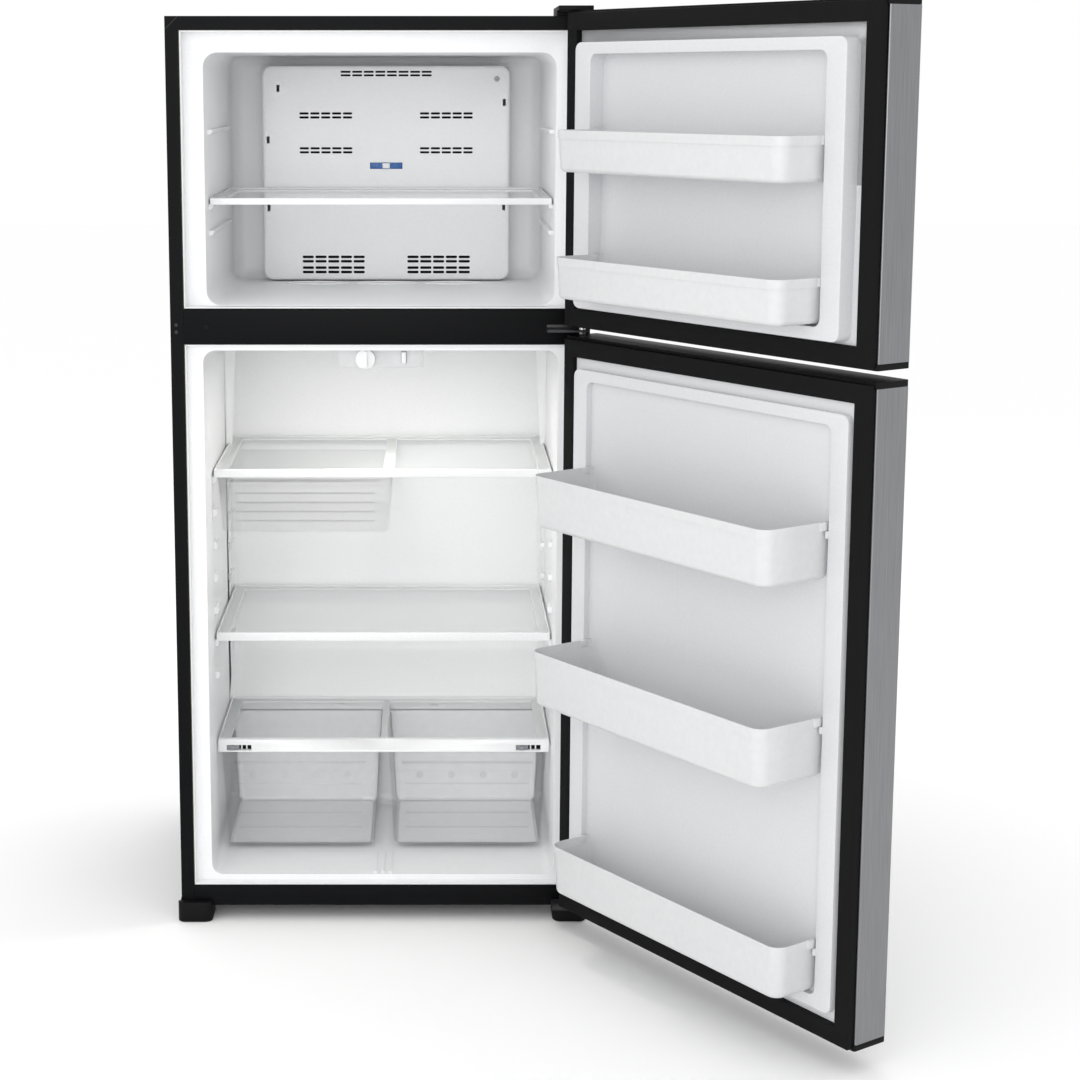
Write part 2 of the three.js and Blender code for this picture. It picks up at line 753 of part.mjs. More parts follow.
// Straight runs of tube joined by half turns.
class SerpentineCurve extends THREE.Curve {
  constructor(runs, length, pitch) {
    super();
    Object.assign(this, { runs, length, pitch });
    this.turn = (Math.PI * pitch) / 2;
    this.total = runs * length + (runs - 1) * this.turn;
  }

  getPoint(t, target = new THREE.Vector3()) {
    let s = Math.min(Math.max(t, 0), 1) * this.total;
    for (let run = 0; run < this.runs; run += 1) {
      const forward = run % 2 === 0;
      const z = run * this.pitch;
      if (s <= this.length || run === this.runs - 1) {
        return target.set(forward ? s : this.length - s, 0, z);
      }
      s -= this.length;
      if (s <= this.turn) {
        const angle = (s / this.turn) * Math.PI;
        const reach = Math.sin(angle) * (this.pitch / 2);
        const x = forward ? this.length + reach : -reach;
        return target.set(x, 0, z + (this.pitch / 2) * (1 - Math.cos(angle)));
      }
      s -= this.turn;
    }
    return target;
  }
}

function condenserCoil() {
  const path = new SerpentineCurve(6, 210, 26);
  const tube = new THREE.Shape().absarc(0, 0, 4, 0, Math.PI * 2);
  const options = { steps: 100, curveSegments: 3, extrudePath: path, bevelEnabled: false };
  const geometry = new THREE.ExtrudeGeometry(tube, options);
  const left = halfWidth - 286;
  const middle = bayFrontY + 74;
  geometry.translate(left, middle, panFloor + 44);
  const wires = [];
  for (let i = 0; i < 6; i += 1) {
    const x = left + 15 + i * 36;
    wires.push(box(x - 1, middle - 5, panFloor + 36, x + 1, middle - 2, panFloor + 182));
  }
  return join([solid(geometry), ...wires]);
}

const coolingFan = { x: -20, y: bayFrontY + 76, z: panFloor + 92, radius: 62 };

function condenserFanMotor() {
  const f = coolingFan;
  const motor = bar("x", 24, f.x - 50, f.x - 12, f.y, f.z);
  const post = box(f.x - 46, f.y - 14, panFloor, f.x - 38, f.y + 14, f.z);
  const foot = box(f.x - 62, f.y - 30, panFloor, f.x - 22, f.y + 30, panFloor + 3);
  return join([motor, post, foot]);
}

function compressorCover() {
  const y1 = cabinetDepth - 1;
  const half = halfWidth - bayWall;
  const plate = wideBox(half, y1 - 2, floorClearance + 8, y1, bayTopZ - 2);
  const louvres = [];
  for (let column = 0; column < 2; column += 1) {
    for (let row = 0; row < 7; row += 1) {
      const x = -250 + column * 330;
      const z = 80 + row * 22;
      louvres.push(box(x, y1 - 3, z, x + 170, y1 + 1, z + 8));
    }
  }
  return cut(plate, louvres);
}

// ---------- hinges and feet ----------

function topHinge() {
  const z0 = cabinetTop + fitGap;
  const armZ = freezerDoorTop + 0.6;
  const plate = box(pinX - 44, 14, z0, pinX + 8, 110, z0 + 3);
  const riser = box(pinX - 44, 12, z0, pinX + 8, 15, armZ + 3);
  const arm = box(pinX - 24, pinY - 12, armZ, pinX + 10, 15, armZ + 3);
  const pin = bar("z", pinRadius, freezerDoorTop - capHeight + 1, armZ + 1, pinX, pinY);
  return join([plate, riser, arm, pin]);
}

function topHingeCover() {
  const x0 = pinX - 48;
  const x1 = pinX + 13;
  const top = freezerDoorTop + 8.5;
  const rear = box(x0, 4, cabinetTop + fitGap, x1, 120, top);
  const frontEdge = box(x0, pinY - 18, freezerDoorTop + 0.5, x1, 6, top);
  const rearHollow = box(x0 + 2, 6, cabinetTop - 1, x1 - 2, 118, top - 2);
  const frontHollow = box(x0 + 2, pinY - 16, freezerDoorTop - 1, x1 - 2, 7, top - 2);
  return cut(rear.add(frontEdge), [rearHollow, frontHollow]);
}

function centreHinge() {
  const middle = (fridgeDoorTop + freezerDoorBottom) / 2;
  const arm = box(pinX - 62, pinY - 14, middle - 2, pinX + 12, -fitGap, middle + 2);
  const flange = box(pinX - 62, -3.5, fridgeDoorTop + 1.5, pinX - 8, -fitGap, freezerDoorBottom - 1.5);
  const pin = bar(
    "z", pinRadius, fridgeDoorTop - capHeight + 1, freezerDoorBottom + capHeight - 1, pinX, pinY,
  );
  return join([arm, flange, pin]);
}

function bottomHinge() {
  const armTop = fridgeDoorBottom - 1.5;
  const arm = box(pinX - 44, pinY - 14, armTop - 4, pinX + 12, -fitGap, armTop);
  const flange = box(pinX - 44, -3.5, floorClearance + 2, pinX - 10, -fitGap, armTop);
  const pin = bar("z", pinRadius, armTop - 2, fridgeDoorBottom + capHeight - 1, pinX, pinY);
  return join([arm, flange, pin]);
}

// A toe under each front corner. The left one also covers the rail's end.
function foot(side) {
  const x = side * (halfWidth + 6 - 32.5);
  const top = floorClearance - fitGap;
  const sole = alongZ(roundedOutline(65, 80, 16), x, 24, 0, top);
  if (side > 0) return sole;
  const front = alongZ(roundedOutline(65, 32, 14), x, 0, 0, floorClearance + 10);
  const behind = box(x - 40, -fitGap, top, x + 40, 60, floorClearance + 20);
  return cut(sole.add(front), [behind]);
}

function rearRollers() {
  const half = rollerX + 17;
  const axle = bar("x", axleRadius, -half, half, rollerY, rollerRadius, 12);
  const wheels = [-1, 1].map((side) => {
    const x = side * rollerX;
    return bar("x", rollerRadius, x - 12, x + 12, rollerY, rollerRadius, 24);
  });
  return join([axle, ...wheels]);
}

// ---------- doors ----------

function doorSkin(z0, z1) {
  const low = z0 + capHeight + fitGap;
  const high = z1 - capHeight - fitGap;
  const outer = wideBox(halfDoor, doorOuterY, low, doorInnerY - 2.4, high);
  const hollow = wideBox(halfDoor - steel, doorOuterY + steel, low - 1, doorInnerY - 3.6, high + 1);
  const mouth = wideBox(halfDoor - linerInset + 6, doorInnerY - 8, low - 1, 0, high + 1);
  return cut(outer, [hollow, mouth]);
}

// End caps are bored for the hinge pins.
function doorCap(z0, z1) {
  const shape = roundedOutline(doorWidth, doorThickness, 4);
  const middle = (doorOuterY + doorInnerY) / 2;
  const plate = alongZ(shape, 0, middle, z0, z1);
  return cut(plate, [bar("z", pinRadius + pinClearance, z0 - 1, z1 + 1, pinX, pinY)]);
}

function doorGasket(z0, z1) {
  const free = -halfDoor + gasketInset;
  const hung = pinX + gasketReach;
  const inner = halfDoor - linerInset + fitGap;
  const ring = box(free, doorInnerY - 2, z0 + gasketInset, hung, -1, z1 - gasketInset);
  const hole = wideBox(inner, doorInnerY - 3, z0 + linerInset - fitGap, 0, z1 - linerInset + fitGap);
  const capEdge = [
    wideBox(halfDoor, doorInnerY - 3, z0, doorInnerY + fitGap, z0 + capHeight + fitGap),
    wideBox(halfDoor, doorInnerY - 3, z1 - capHeight - fitGap, doorInnerY + fitGap, z1),
  ];
  return cut(ring, [hole, ...capEdge]);
}

// The recess inside the dyke, and the dyke's own outer edge, grown by a wall.
function recess(door, grow) {
  const half = door.dykeInner + grow;
  return { half, z0: door.z0 + door.recessLow - grow, z1: door.z1 - door.recessHigh + grow };
}

function dykeEdge(door, grow) {
  const half = door.dykeOuter + grow;
  const width = door.dykeEndWidth + grow;
  const inner = recess(door, 0);
  return { half, z0: inner.z0 - width, z1: inner.z1 + width };
}

// The inner liner: a flat border, a raised dyke all round, and a shallow recess.
function doorLiner(door) {
  const { z0, z1 } = door;
  const crest = doorInnerY + door.dykeHeight;
  const floor = doorInnerY - recessDepth;
  const border = wideBox(
    halfDoor - linerInset, doorInnerY - plastic, z0 + linerInset, doorInnerY, z1 - linerInset,
  );
  const edge = dykeEdge(door, 0);
  const block = wideBox(edge.half, floor - plastic, edge.z0, crest, edge.z1);
  const inside = recess(door, 0);
  const pocket = wideBox(inside.half, floor, inside.z0, crest + 1, inside.z1);
  const wall = recess(door, plastic);
  const skin = dykeEdge(door, -plastic);
  const channel = cut(
    wideBox(skin.half, floor - plastic - 1, skin.z0, crest - plastic, skin.z1),
    [wideBox(wall.half, floor - plastic - 2, wall.z0, crest, wall.z1)],
  );
  const lugs = door.bins.flatMap((bin) =>
    [-1, 1].map((side) => {
      const x = side * (door.dykeInner - 2);
      return box(x - 2.5, floor + 14, bin.z1 - 26, x + 2.5, floor + 30, bin.z1 - 14 - fitGap);
    }),
  );
  return join([cut(border.add(block), [pocket, channel]), ...lugs]);
}

function doorFoam(door) {
  const low = door.z0 + capHeight + 2 * fitGap;
  const high = door.z1 - capHeight - 2 * fitGap;
  const floor = doorInnerY - recessDepth - plastic;
  const core = wideBox(
    halfDoor - steel - fitGap, doorOuterY + steel + fitGap, low, doorInnerY - 4, high,
  );
  const edge = dykeEdge(door, fitGap);
  const seat = wideBox(edge.half, floor - fitGap, edge.z0, 0, edge.z1);
  return cut(core, [seat]);
}

function doorBin(door, bin) {
  const half = door.dykeInner - 6;
  const y0 = doorInnerY - recessDepth + 0.6;
  const y1 = doorInnerY + bin.reach;
  const w = drawerWall;
  const outer = wideBox(half, y0, bin.z0, y1, bin.z1);
  const inner = wideBox(half - w, y0 + w, bin.z0 + w, y1 - w, bin.z1 + 1);
  const ears = [-1, 1].map((side) => {
    const x = side * half;
    return box(x - 3, y0 + 13, bin.z1 - 14, x + 3, y0 + 30, bin.z1);
  });
  return cut(outer.add(ears[0]).add(ears[1]), [inner]);
}

// A bar on two posts, near the door's free edge.
function doorHandle(z0, z1) {
  const x = -halfDoor + handleInset;
  const front = doorOuterY - handleStandoff;
  const length = z1 - z0;
  const grip = alongY(
    roundedOutline(handleWidth, length, 9), x, (z0 + z1) / 2, front, front + handleBar,
  );
  const posts = [z0 + 22, z1 - 22].map((z) =>
    alongY(roundedOutline(16, 30, 7), x, z, front + handleBar - 1, doorOuterY - fitGap),
  );
  return join([grip, ...posts]);
}

const doors = [
  {
    name: "freezer",
    z0: freezerDoorBottom,
    z1: freezerDoorTop,
    dykeOuter: halfOpening - 32,
    dykeInner: halfOpening - 73,
    dykeEndWidth: 20,
    dykeHeight: 30,
    recessLow: 60,
    recessHigh: 76,
    handle: [freezerDoorBottom + 31, freezerDoorBottom + 291],
    bins: [
      { name: "lower", z0: freezerDoorBottom + 64, z1: freezerDoorBottom + 136, reach: 116 },
      { name: "upper", z0: freezerDoorBottom + 281, z1: freezerDoorBottom + 352, reach: 116 },
    ],
  },
  {
    name: "fridge",
    z0: fridgeDoorBottom,
    z1: fridgeDoorTop,
    dykeOuter: halfOpening - 19,
    dykeInner: halfOpening - 55,
    dykeEndWidth: 20,
    dykeHeight: 15,
    recessLow: 70,
    recessHigh: 74,
    handle: [fridgeDoorTop - 429.6, fridgeDoorTop - 31.6],
    bins: [
      { name: "lower", z0: fridgeDoorBottom + 75, z1: fridgeDoorBottom + 165, reach: 95 },
      { name: "middle", z0: fridgeDoorBottom + 436, z1: fridgeDoorBottom + 535, reach: 144 },
      { name: "upper", z0: fridgeDoorTop - 319.6, z1: fridgeDoorTop - 226.6, reach: 144 },
    ],
  },
];

// ---------- assembly ----------

add("cabinet_shell", cabinetShell(), "blackPaint");
add("back_panel", rearPanel(), "zinc");
add("centre_rail", centreRail(), "blackPaint");
add("base_frame", baseFrame(), "blackPaint");
add("foam_insulation", foamBlock(), "foam");
add("freezer_liner", freezerLiner(), "whiteLiner");
add("fridge_liner", fridgeLiner(), "whiteLiner");

add("freezer_shelf_frame", shelfFrame(
  freezerShelfHalf, freezerShelfFrontY, freezerShelfBackY, freezerShelfZ, freezerShelfTrim, 18,
), "whiteTrim");
add("freezer_shelf_glass", shelfGlass(
  freezerShelfHalf, freezerShelfFrontY, freezerShelfBackY, freezerShelfZ,
), "glass");
add("evaporator_cover", evaporatorCover(), "whiteLiner");
add("airflow_slide", airflowSlide(), "blueSlide");
add("evaporator_coil", evaporatorCoil(), "aluminium");
add("evaporator_fan_motor", evaporatorFanMotor(), "greyPlastic");
const evaporatorFan = fanBlades(58, 12).translate([0, coverFrontY + 28, fanZ]);
add("evaporator_fan", evaporatorFan, "greyPlastic");

add("upper_shelf_frame", upperShelfFrame(), "whiteTrim");
add("upper_shelf_glass", shelfGlass(
  fridgeShelfHalf, shelfFrontY, shelfBackY, upperShelfZ,
), "glass");
add("deli_drawer", drawer(
  deliLeft, shelfFrontY + 2, deliTop - slideGap - deliHeight, deliRight - 4,
  shelfFrontY + deliDepth, deliTop - slideGap, deliTaper, 6,
), "clear");
add("middle_shelf_frame", shelfFrame(
  fridgeShelfHalf, shelfFrontY, shelfBackY, middleShelfZ, shelfTrim, shelfRail,
), "whiteTrim");
add("middle_shelf_glass", shelfGlass(
  fridgeShelfHalf, shelfFrontY, shelfBackY, middleShelfZ,
), "glass");

add("crisper_cover_frame", crisperCoverFrame(), "whiteTrim");
add("crisper_cover_glass", crisperCoverGlass(), "glass");
add("humidity_slide_left", humiditySlide(-1), "greyPlastic");
add("humidity_slide_right", humiditySlide(1), "greyPlastic");
add("crisper_left", crisper(-1), "clear");
add("crisper_right", crisper(1), "clear");

add("control_housing", controlHousing(), "whiteTrim");
add("temperature_knob", temperatureKnob(), "whiteTrim");
add("light_switch", lightSwitch(), "whiteTrim");

add("compressor", compressor(), "blackPaint");
add("drain_pan", drainPan(), "blackPlastic");
add("condenser_coil", condenserCoil(), "blackPaint");
add("condenser_fan_motor", condenserFanMotor(), "greyPlastic");
const fan = coolingFan;
const condenserFan = fanBlades(fan.radius, 12).rotate([0, 0, 90]).translate([fan.x, fan.y, fan.z]);
add("condenser_fan", condenserFan, "blackPlastic");
add("compressor_cover", compressorCover(), "zinc");

add("top_hinge", topHinge(), "zinc");
add("top_hinge_cover", topHingeCover(), "blackPlastic");
add("centre_hinge", centreHinge(), "blackPaint");
add("bottom_hinge", bottomHinge(), "blackPaint");
add("left_foot", foot(-1), "blackPlastic");
add("right_foot", foot(1), "blackPlastic");
add("rear_rollers", rearRollers(), "greyPlastic");

for (const door of doors) {
  const group = doorGroup();
  const { name, z0, z1 } = door;
  add(name + "_door_skin", doorSkin(z0, z1), "stainless", group);
  add(name + "_door_liner", doorLiner(door), "whiteLiner", group);
  add(name + "_door_top_cap", doorCap(z1 - capHeight, z1), "blackPlastic", group);
  add(name + "_door_bottom_cap", doorCap(z0, z0 + capHeight), "blackPlastic", group);
  add(name + "_door_gasket", doorGasket(z0, z1), "gasket", group);
  add(name + "_door_foam", doorFoam(door), "foam", group);
  add(name + "_door_handle", doorHandle(...door.handle), "stainless", group);
  for (const bin of door.bins) {
    add(name + "_bin_" + bin.name, doorBin(door, bin), "whiteTrim", group);
  }
}

export default refrigerator;
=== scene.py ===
import json
import math

import bpy
from mathutils import Matrix, Vector

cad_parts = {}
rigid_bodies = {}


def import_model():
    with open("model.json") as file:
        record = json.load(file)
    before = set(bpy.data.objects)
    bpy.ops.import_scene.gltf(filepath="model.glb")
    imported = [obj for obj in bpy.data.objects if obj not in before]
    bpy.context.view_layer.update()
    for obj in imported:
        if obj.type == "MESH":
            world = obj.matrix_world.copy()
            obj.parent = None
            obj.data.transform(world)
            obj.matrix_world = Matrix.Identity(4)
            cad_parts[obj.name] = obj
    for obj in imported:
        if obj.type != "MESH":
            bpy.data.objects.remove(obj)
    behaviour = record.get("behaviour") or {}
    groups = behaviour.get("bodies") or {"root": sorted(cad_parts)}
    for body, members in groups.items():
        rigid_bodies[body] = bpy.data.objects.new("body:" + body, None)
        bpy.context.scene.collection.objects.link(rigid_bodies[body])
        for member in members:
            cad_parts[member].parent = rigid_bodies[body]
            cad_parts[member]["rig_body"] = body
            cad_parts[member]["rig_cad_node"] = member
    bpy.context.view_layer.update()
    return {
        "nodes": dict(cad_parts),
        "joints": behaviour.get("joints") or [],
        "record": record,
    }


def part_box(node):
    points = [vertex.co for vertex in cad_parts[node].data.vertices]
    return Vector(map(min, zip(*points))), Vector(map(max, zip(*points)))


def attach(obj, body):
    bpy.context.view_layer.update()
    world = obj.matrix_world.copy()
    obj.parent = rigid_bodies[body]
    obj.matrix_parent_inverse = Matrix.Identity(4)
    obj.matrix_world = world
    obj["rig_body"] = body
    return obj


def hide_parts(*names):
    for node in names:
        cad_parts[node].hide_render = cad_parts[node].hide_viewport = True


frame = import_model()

print("frame loaded")

cabinetLow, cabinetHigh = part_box("cabinet_shell")
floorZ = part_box("left_foot")[0].z
hinge = [joint for joint in frame["joints"] if joint["child"] == "fridge_door"][0]
pin = Vector(hinge["pos_m"])
openAngle = math.radians(-hinge["range_deg"][0])
doorTurn = Matrix.Translation(pin) @ Matrix.Rotation(openAngle, 4, "Z") @ Matrix.Translation(-pin)


# millimetres from the cabinet's centre, its front face and the floor
def place(x, y, z):
    return Vector((x / 1000, cabinetLow.y + y / 1000, floorZ + z / 1000))


# a node's box in the same millimetres, with its door shut
def sizeOf(node):
    swings = node.startswith(("freezer_door", "fridge_door", "freezer_bin", "fridge_bin"))
    back = doorTurn.inverted() if swings else Matrix.Identity(4)
    points = [back @ v.co for v in frame["nodes"][node].data.vertices]
    base = place(0, 0, 0)
    low = [round((min(p[i] for p in points) - base[i]) * 1000, 2) for i in range(3)]
    high = [round((max(p[i] for p in points) - base[i]) * 1000, 2) for i in range(3)]
    return low + high


# working habits

def leaveEdit():
    if bpy.context.object and bpy.context.object.mode != "OBJECT":
        bpy.ops.object.mode_set(mode="OBJECT")
    bpy.ops.object.select_all(action="DESELECT")


def activate(piece):
    leaveEdit()
    piece.select_set(True)
    bpy.context.view_layer.objects.active = piece


def applyPlace(piece):
    activate(piece)
    bpy.ops.object.transform_apply(location=True, rotation=True, scale=True)


def addBlock(name, x0, y0, z0, x1, y1, z1):
    leaveEdit()
    low, high = place(x0, y0, z0), place(x1, y1, z1)
    bpy.ops.mesh.primitive_cube_add(size=1, location=(low + high) / 2, scale=high - low)
    piece = bpy.context.object
    piece.name = name
    applyPlace(piece)
    return piece


def addRound(name, x, y, z, radius, depth, axis="Y", sides=32):
    leaveEdit()
    turn = {"X": (0, math.pi / 2, 0), "Y": (math.pi / 2, 0, 0), "Z": (0, 0, 0)}[axis]
    bpy.ops.mesh.primitive_cylinder_add(
        vertices=sides, radius=radius / 1000, depth=depth / 1000,
        location=place(x, y, z), rotation=turn,
    )
    piece = bpy.context.object
    piece.name = name
    applyPlace(piece)
    return piece


def startEdit(piece, kind):
    activate(piece)
    bpy.ops.object.mode_set(mode="EDIT")
    bpy.ops.mesh.select_mode(type=kind)
    bpy.ops.mesh.select_all(action="DESELECT")
    bpy.ops.object.mode_set(mode="OBJECT")


def pickFaces(piece, test):
    startEdit(piece, "FACE")
    for face in piece.data.polygons:
        face.select = test(face.center, face.normal)
    bpy.ops.object.mode_set(mode="EDIT")


def pickEdges(piece, test):
    startEdit(piece, "EDGE")
    points = piece.data.vertices
    for edge in piece.data.edges:
        edge.select = test(points[edge.vertices[0]].co, points[edge.vertices[1]].co)
    bpy.ops.object.mode_set(mode="EDIT")


def roundPicked(radius, segments=3):
    bpy.ops.mesh.bevel(offset=radius / 1000, segments=segments, affect="EDGES", clamp_overlap=True)


def applyModifier(piece, kind, **settings):
    activate(piece)
    modifier = piece.modifiers.new("work", kind)
    for key, value in settings.items():
        setattr(modifier, key, value)
    bpy.ops.object.modifier_apply(modifier=modifier.name)


def roundAll(piece, radius, segments=3, angle=35):
    applyModifier(
        piece, "BEVEL", width=radius / 1000, segments=segments,
        limit_method="ANGLE", angle_limit=math.radians(angle),
    )


def joinInto(piece, others):
    activate(piece)
    for other in others:
        other.select_set(True)
    bpy.ops.object.join()
    return piece


def cutWith(piece, cutter):
    applyModifier(piece, "BOOLEAN", operation="DIFFERENCE", solver="EXACT", object=cutter)
    bpy.data.objects.remove(cutter)


# a merged copy of a CAD node with its edges eased
def easedCopy(node, radius, segments=2):
    leaveEdit()
    source = frame["nodes"][node]
    piece = source.copy()
    piece.data = source.data.copy()
    piece.parent = None
    piece.name = node + "_eased"
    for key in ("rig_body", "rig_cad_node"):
        del piece[key]
    bpy.context.scene.collection.objects.link(piece)
    activate(piece)
    bpy.ops.object.mode_set(mode="EDIT")
    bpy.ops.mesh.select_all(action="SELECT")
    bpy.ops.mesh.remove_doubles(threshold=0.00001)
    bpy.ops.mesh.dissolve_limited(angle_limit=math.radians(1))
    bpy.ops.object.mode_set(mode="OBJECT")
    roundAll(piece, radius, segments)
    return piece


def finishPiece(piece, finish, body, stands=(), shut=False, smooth=40):
    if shut:
        piece.matrix_world = doorTurn @ piece.matrix_world
        applyPlace(piece)
    activate(piece)
    bpy.ops.object.shade_smooth_by_angle(angle=math.radians(smooth))
    piece.data.materials.clear()
    piece.data.materials.append(finish)
    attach(piece, body)
    if stands:
        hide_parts(*stands)
    return piece


# finishes

finishSizes = {
    "whiteLiner": {
        "colours": ((0.865, 0.87, 0.88), (0.895, 0.9, 0.905)),
        "rough": (0.3, 0.38), "scale": 260, "bump": 0.03,
    },
    # the same white plastic as whiteLiner, darkened as painted shade for the doors turned away from the lamps
    "doorLiner": {
        "colours": ((0.655, 0.66, 0.675), (0.69, 0.695, 0.71)),
        "rough": (0.3, 0.38), "scale": 260, "bump": 0.03,
    },
    # the white plastic again, darker still: painted shade on the door bins and the control housing
    "shadedWhitePlastic": {
        "colours": ((0.64, 0.645, 0.65), (0.67, 0.675, 0.68)),
        "rough": (0.26, 0.32), "scale": 90, "bump": 0.01,
    },
    "whiteTrim": {
        "colours": ((0.83, 0.835, 0.84), (0.87, 0.875, 0.88)),
        "rough": (0.22, 0.3), "scale": 420, "bump": 0.02,
    },
    "blackEnamel": {
        "colours": ((0.003, 0.0032, 0.0038), (0.005, 0.0053, 0.006)),
        "rough": (0.36, 0.46), "scale": 900, "bump": 0.06, "gloss": 0.07,
    },
    "blackPlastic": {
        "colours": ((0.003, 0.003, 0.0035), (0.006, 0.006, 0.0065)),
        "rough": (0.46, 0.6), "scale": 1900, "bump": 0.15, "gloss": 0.12,
    },
    "gasketRubber": {
        "colours": ((0.004, 0.004, 0.0045), (0.008, 0.008, 0.0085)),
        "rough": (0.6, 0.78), "scale": 1200, "bump": 0.1, "gloss": 0.1,
    },
    "stainless": {
        "colours": ((0.215, 0.218, 0.228), (0.28, 0.283, 0.293)),
        "rough": (0.26, 0.4), "scale": 900, "bump": 0.04, "metal": 1.0, "stretch": (1, 1, 0.012),
    },
    "galvanised": {
        "colours": ((0.42, 0.43, 0.44), (0.5, 0.51, 0.52)),
        "rough": (0.36, 0.48), "scale": 170, "bump": 0.02, "metal": 0.9, "pattern": "cells",
    },
    "finAluminium": {
        "colours": ((0.6, 0.61, 0.62), (0.74, 0.75, 0.76)),
        "rough": (0.28, 0.42), "scale": 500, "bump": 0.04, "metal": 1.0, "stretch": (0.1, 1, 1),
    },
    "hingeSteel": {
        "colours": ((0.012, 0.012, 0.014), (0.02, 0.02, 0.022)),
        "rough": (0.3, 0.44), "scale": 1100, "bump": 0.06, "gloss": 0.35,
    },
    "platedSteel": {
        "colours": ((0.5, 0.5, 0.49), (0.64, 0.64, 0.63)),
        "rough": (0.2, 0.36), "scale": 1500, "bump": 0.03, "metal": 1.0,
    },
    "greyPlastic": {
        "colours": ((0.24, 0.25, 0.265), (0.3, 0.31, 0.325)),
        "rough": (0.38, 0.5), "scale": 1300, "bump": 0.08,
    },
    # a pale opaque finish for the crispers' back and floor: painted light in place of the lit liner seen through
    # clear plastic
    "litPaleBack": {
        "colours": ((0.83, 0.835, 0.85), (0.88, 0.885, 0.9)),
        "rough": (0.3, 0.42), "scale": 60, "bump": 0.03,
    },
    "bluePlastic": {
        "colours": ((0.02, 0.12, 0.4), (0.03, 0.16, 0.5)),
        "rough": (0.22, 0.32), "scale": 700, "bump": 0.03,
    },
    "rigidFoam": {
        "colours": ((0.66, 0.55, 0.3), (0.8, 0.7, 0.42)),
        "rough": (0.8, 0.95), "scale": 240, "bump": 0.4,
    },
    "compressorEnamel": {
        "colours": ((0.01, 0.01, 0.011), (0.018, 0.018, 0.02)),
        "rough": (0.14, 0.24), "scale": 300, "bump": 0.08,
    },
}


grainSizes = {"ior": 1.5, "gloss": 0.5, "detail": 4, "darkEnd": 0.3, "lightEnd": 0.7, "relief": 0.0004}


def makeFinish(name, sizes):
    finish = bpy.data.materials.new(name)
    finish.use_nodes = True
    nodes, links = finish.node_tree.nodes, finish.node_tree.links
    shader = nodes["Principled BSDF"]
    shader.inputs["Metallic"].default_value = sizes.get("metal", 0.0)
    shader.inputs["IOR"].default_value = grainSizes["ior"]
    shader.inputs["Specular IOR Level"].default_value = sizes.get("gloss", grainSizes["gloss"])
    where = nodes.new("ShaderNodeTexCoord")
    turn = nodes.new("ShaderNodeMapping")
    turn.inputs["Scale"].default_value = sizes.get("stretch", (1, 1, 1))
    links.new(where.outputs["Object"], turn.inputs["Vector"])
    if sizes.get("pattern") == "cells":
        grain = nodes.new("ShaderNodeTexVoronoi")
        value = grain.outputs["Color"]
    else:
        grain = nodes.new("ShaderNodeTexNoise")
        grain.inputs["Detail"].default_value = grainSizes["detail"]
        value = grain.outputs["Fac"]
    grain.inputs["Scale"].default_value = sizes["scale"]
    links.new(turn.outputs["Vector"], grain.inputs["Vector"])
    ramp = nodes.new("ShaderNodeValToRGB")
    ramp.color_ramp.elements[0].position = grainSizes["darkEnd"]
    ramp.color_ramp.elements[1].position = grainSizes["lightEnd"]
    ramp.color_ramp.elements[0].color = (*sizes["colours"][0], 1)
    ramp.color_ramp.elements[1].color = (*sizes["colours"][1], 1)
    links.new(value, ramp.inputs["Fac"])
    links.new(ramp.outputs["Color"], shader.inputs["Base Color"])
    wear = nodes.new("ShaderNodeMapRange")
    wear.inputs["To Min"].default_value, wear.inputs["To Max"].default_value = sizes["rough"]
    links.new(value, wear.inputs["Value"])
    links.new(wear.outputs["Result"], shader.inputs["Roughness"])
    relief = nodes.new("ShaderNodeBump")
    relief.inputs["Strength"].default_value = sizes["bump"]
    relief.inputs["Distance"].default_value = grainSizes["relief"]
    links.new(value, relief.inputs["Height"])
    links.new(relief.outputs["Normal"], shader.inputs["Normal"])
    return finish


finishes = {name: makeFinish(name, sizes) for name, sizes in finishSizes.items()}

clearSizes = {
    "shelfGlass": {
        "colours": ((0.78, 0.86, 0.85), (0.84, 0.9, 0.89)),
        "rough": (0.04, 0.08), "scale": 30, "bump": 0.01, "cover": 0.08,
    },
    "clearPlastic": {
        "colours": ((0.93, 0.94, 0.95), (0.97, 0.975, 0.98)),
        "rough": (0.06, 0.12), "scale": 24, "bump": 0.02, "cover": 0.065,
    },
}
for name, sizes in clearSizes.items():
    finishes[name] = makeFinish(name, sizes)
    finishes[name].node_tree.nodes["Principled BSDF"].inputs["Alpha"].default_value = sizes["cover"]

glowSizes = {"surface": (0.95, 0.96, 0.97, 1), "light": (1.0, 0.97, 0.92, 1), "strength": 30.0}
lampGlow = bpy.data.materials.new("lampGlow")
lampGlow.use_nodes = True
glowShader = lampGlow.node_tree.nodes["Principled BSDF"]
glowShader.inputs["Base Color"].default_value = glowSizes["surface"]
glowShader.inputs["Emission Color"].default_value = glowSizes["light"]
glowShader.inputs["Emission Strength"].default_value = glowSizes["strength"]
finishes["lampGlow"] = lampGlow
print("finishes made")

# liners

freezerSizes = {
    "wall": 3, "corner": 26, "step": 5, "stepDepth": 36, "shelfRoom": 4, "underCover": 3, "overCover": 20,
    "lowRib": 131, "highRib": 316, "ribReach": 9, "ribFront": 15, "ribBack": 38, "ribGap": 0.3,
    "loops": (-138, 0, 138), "loopRadius": 62, "loopGap": 42, "loopWire": 2.4, "loopSquash": 0.42,
}
coverBox = sizeOf("evaporator_cover")


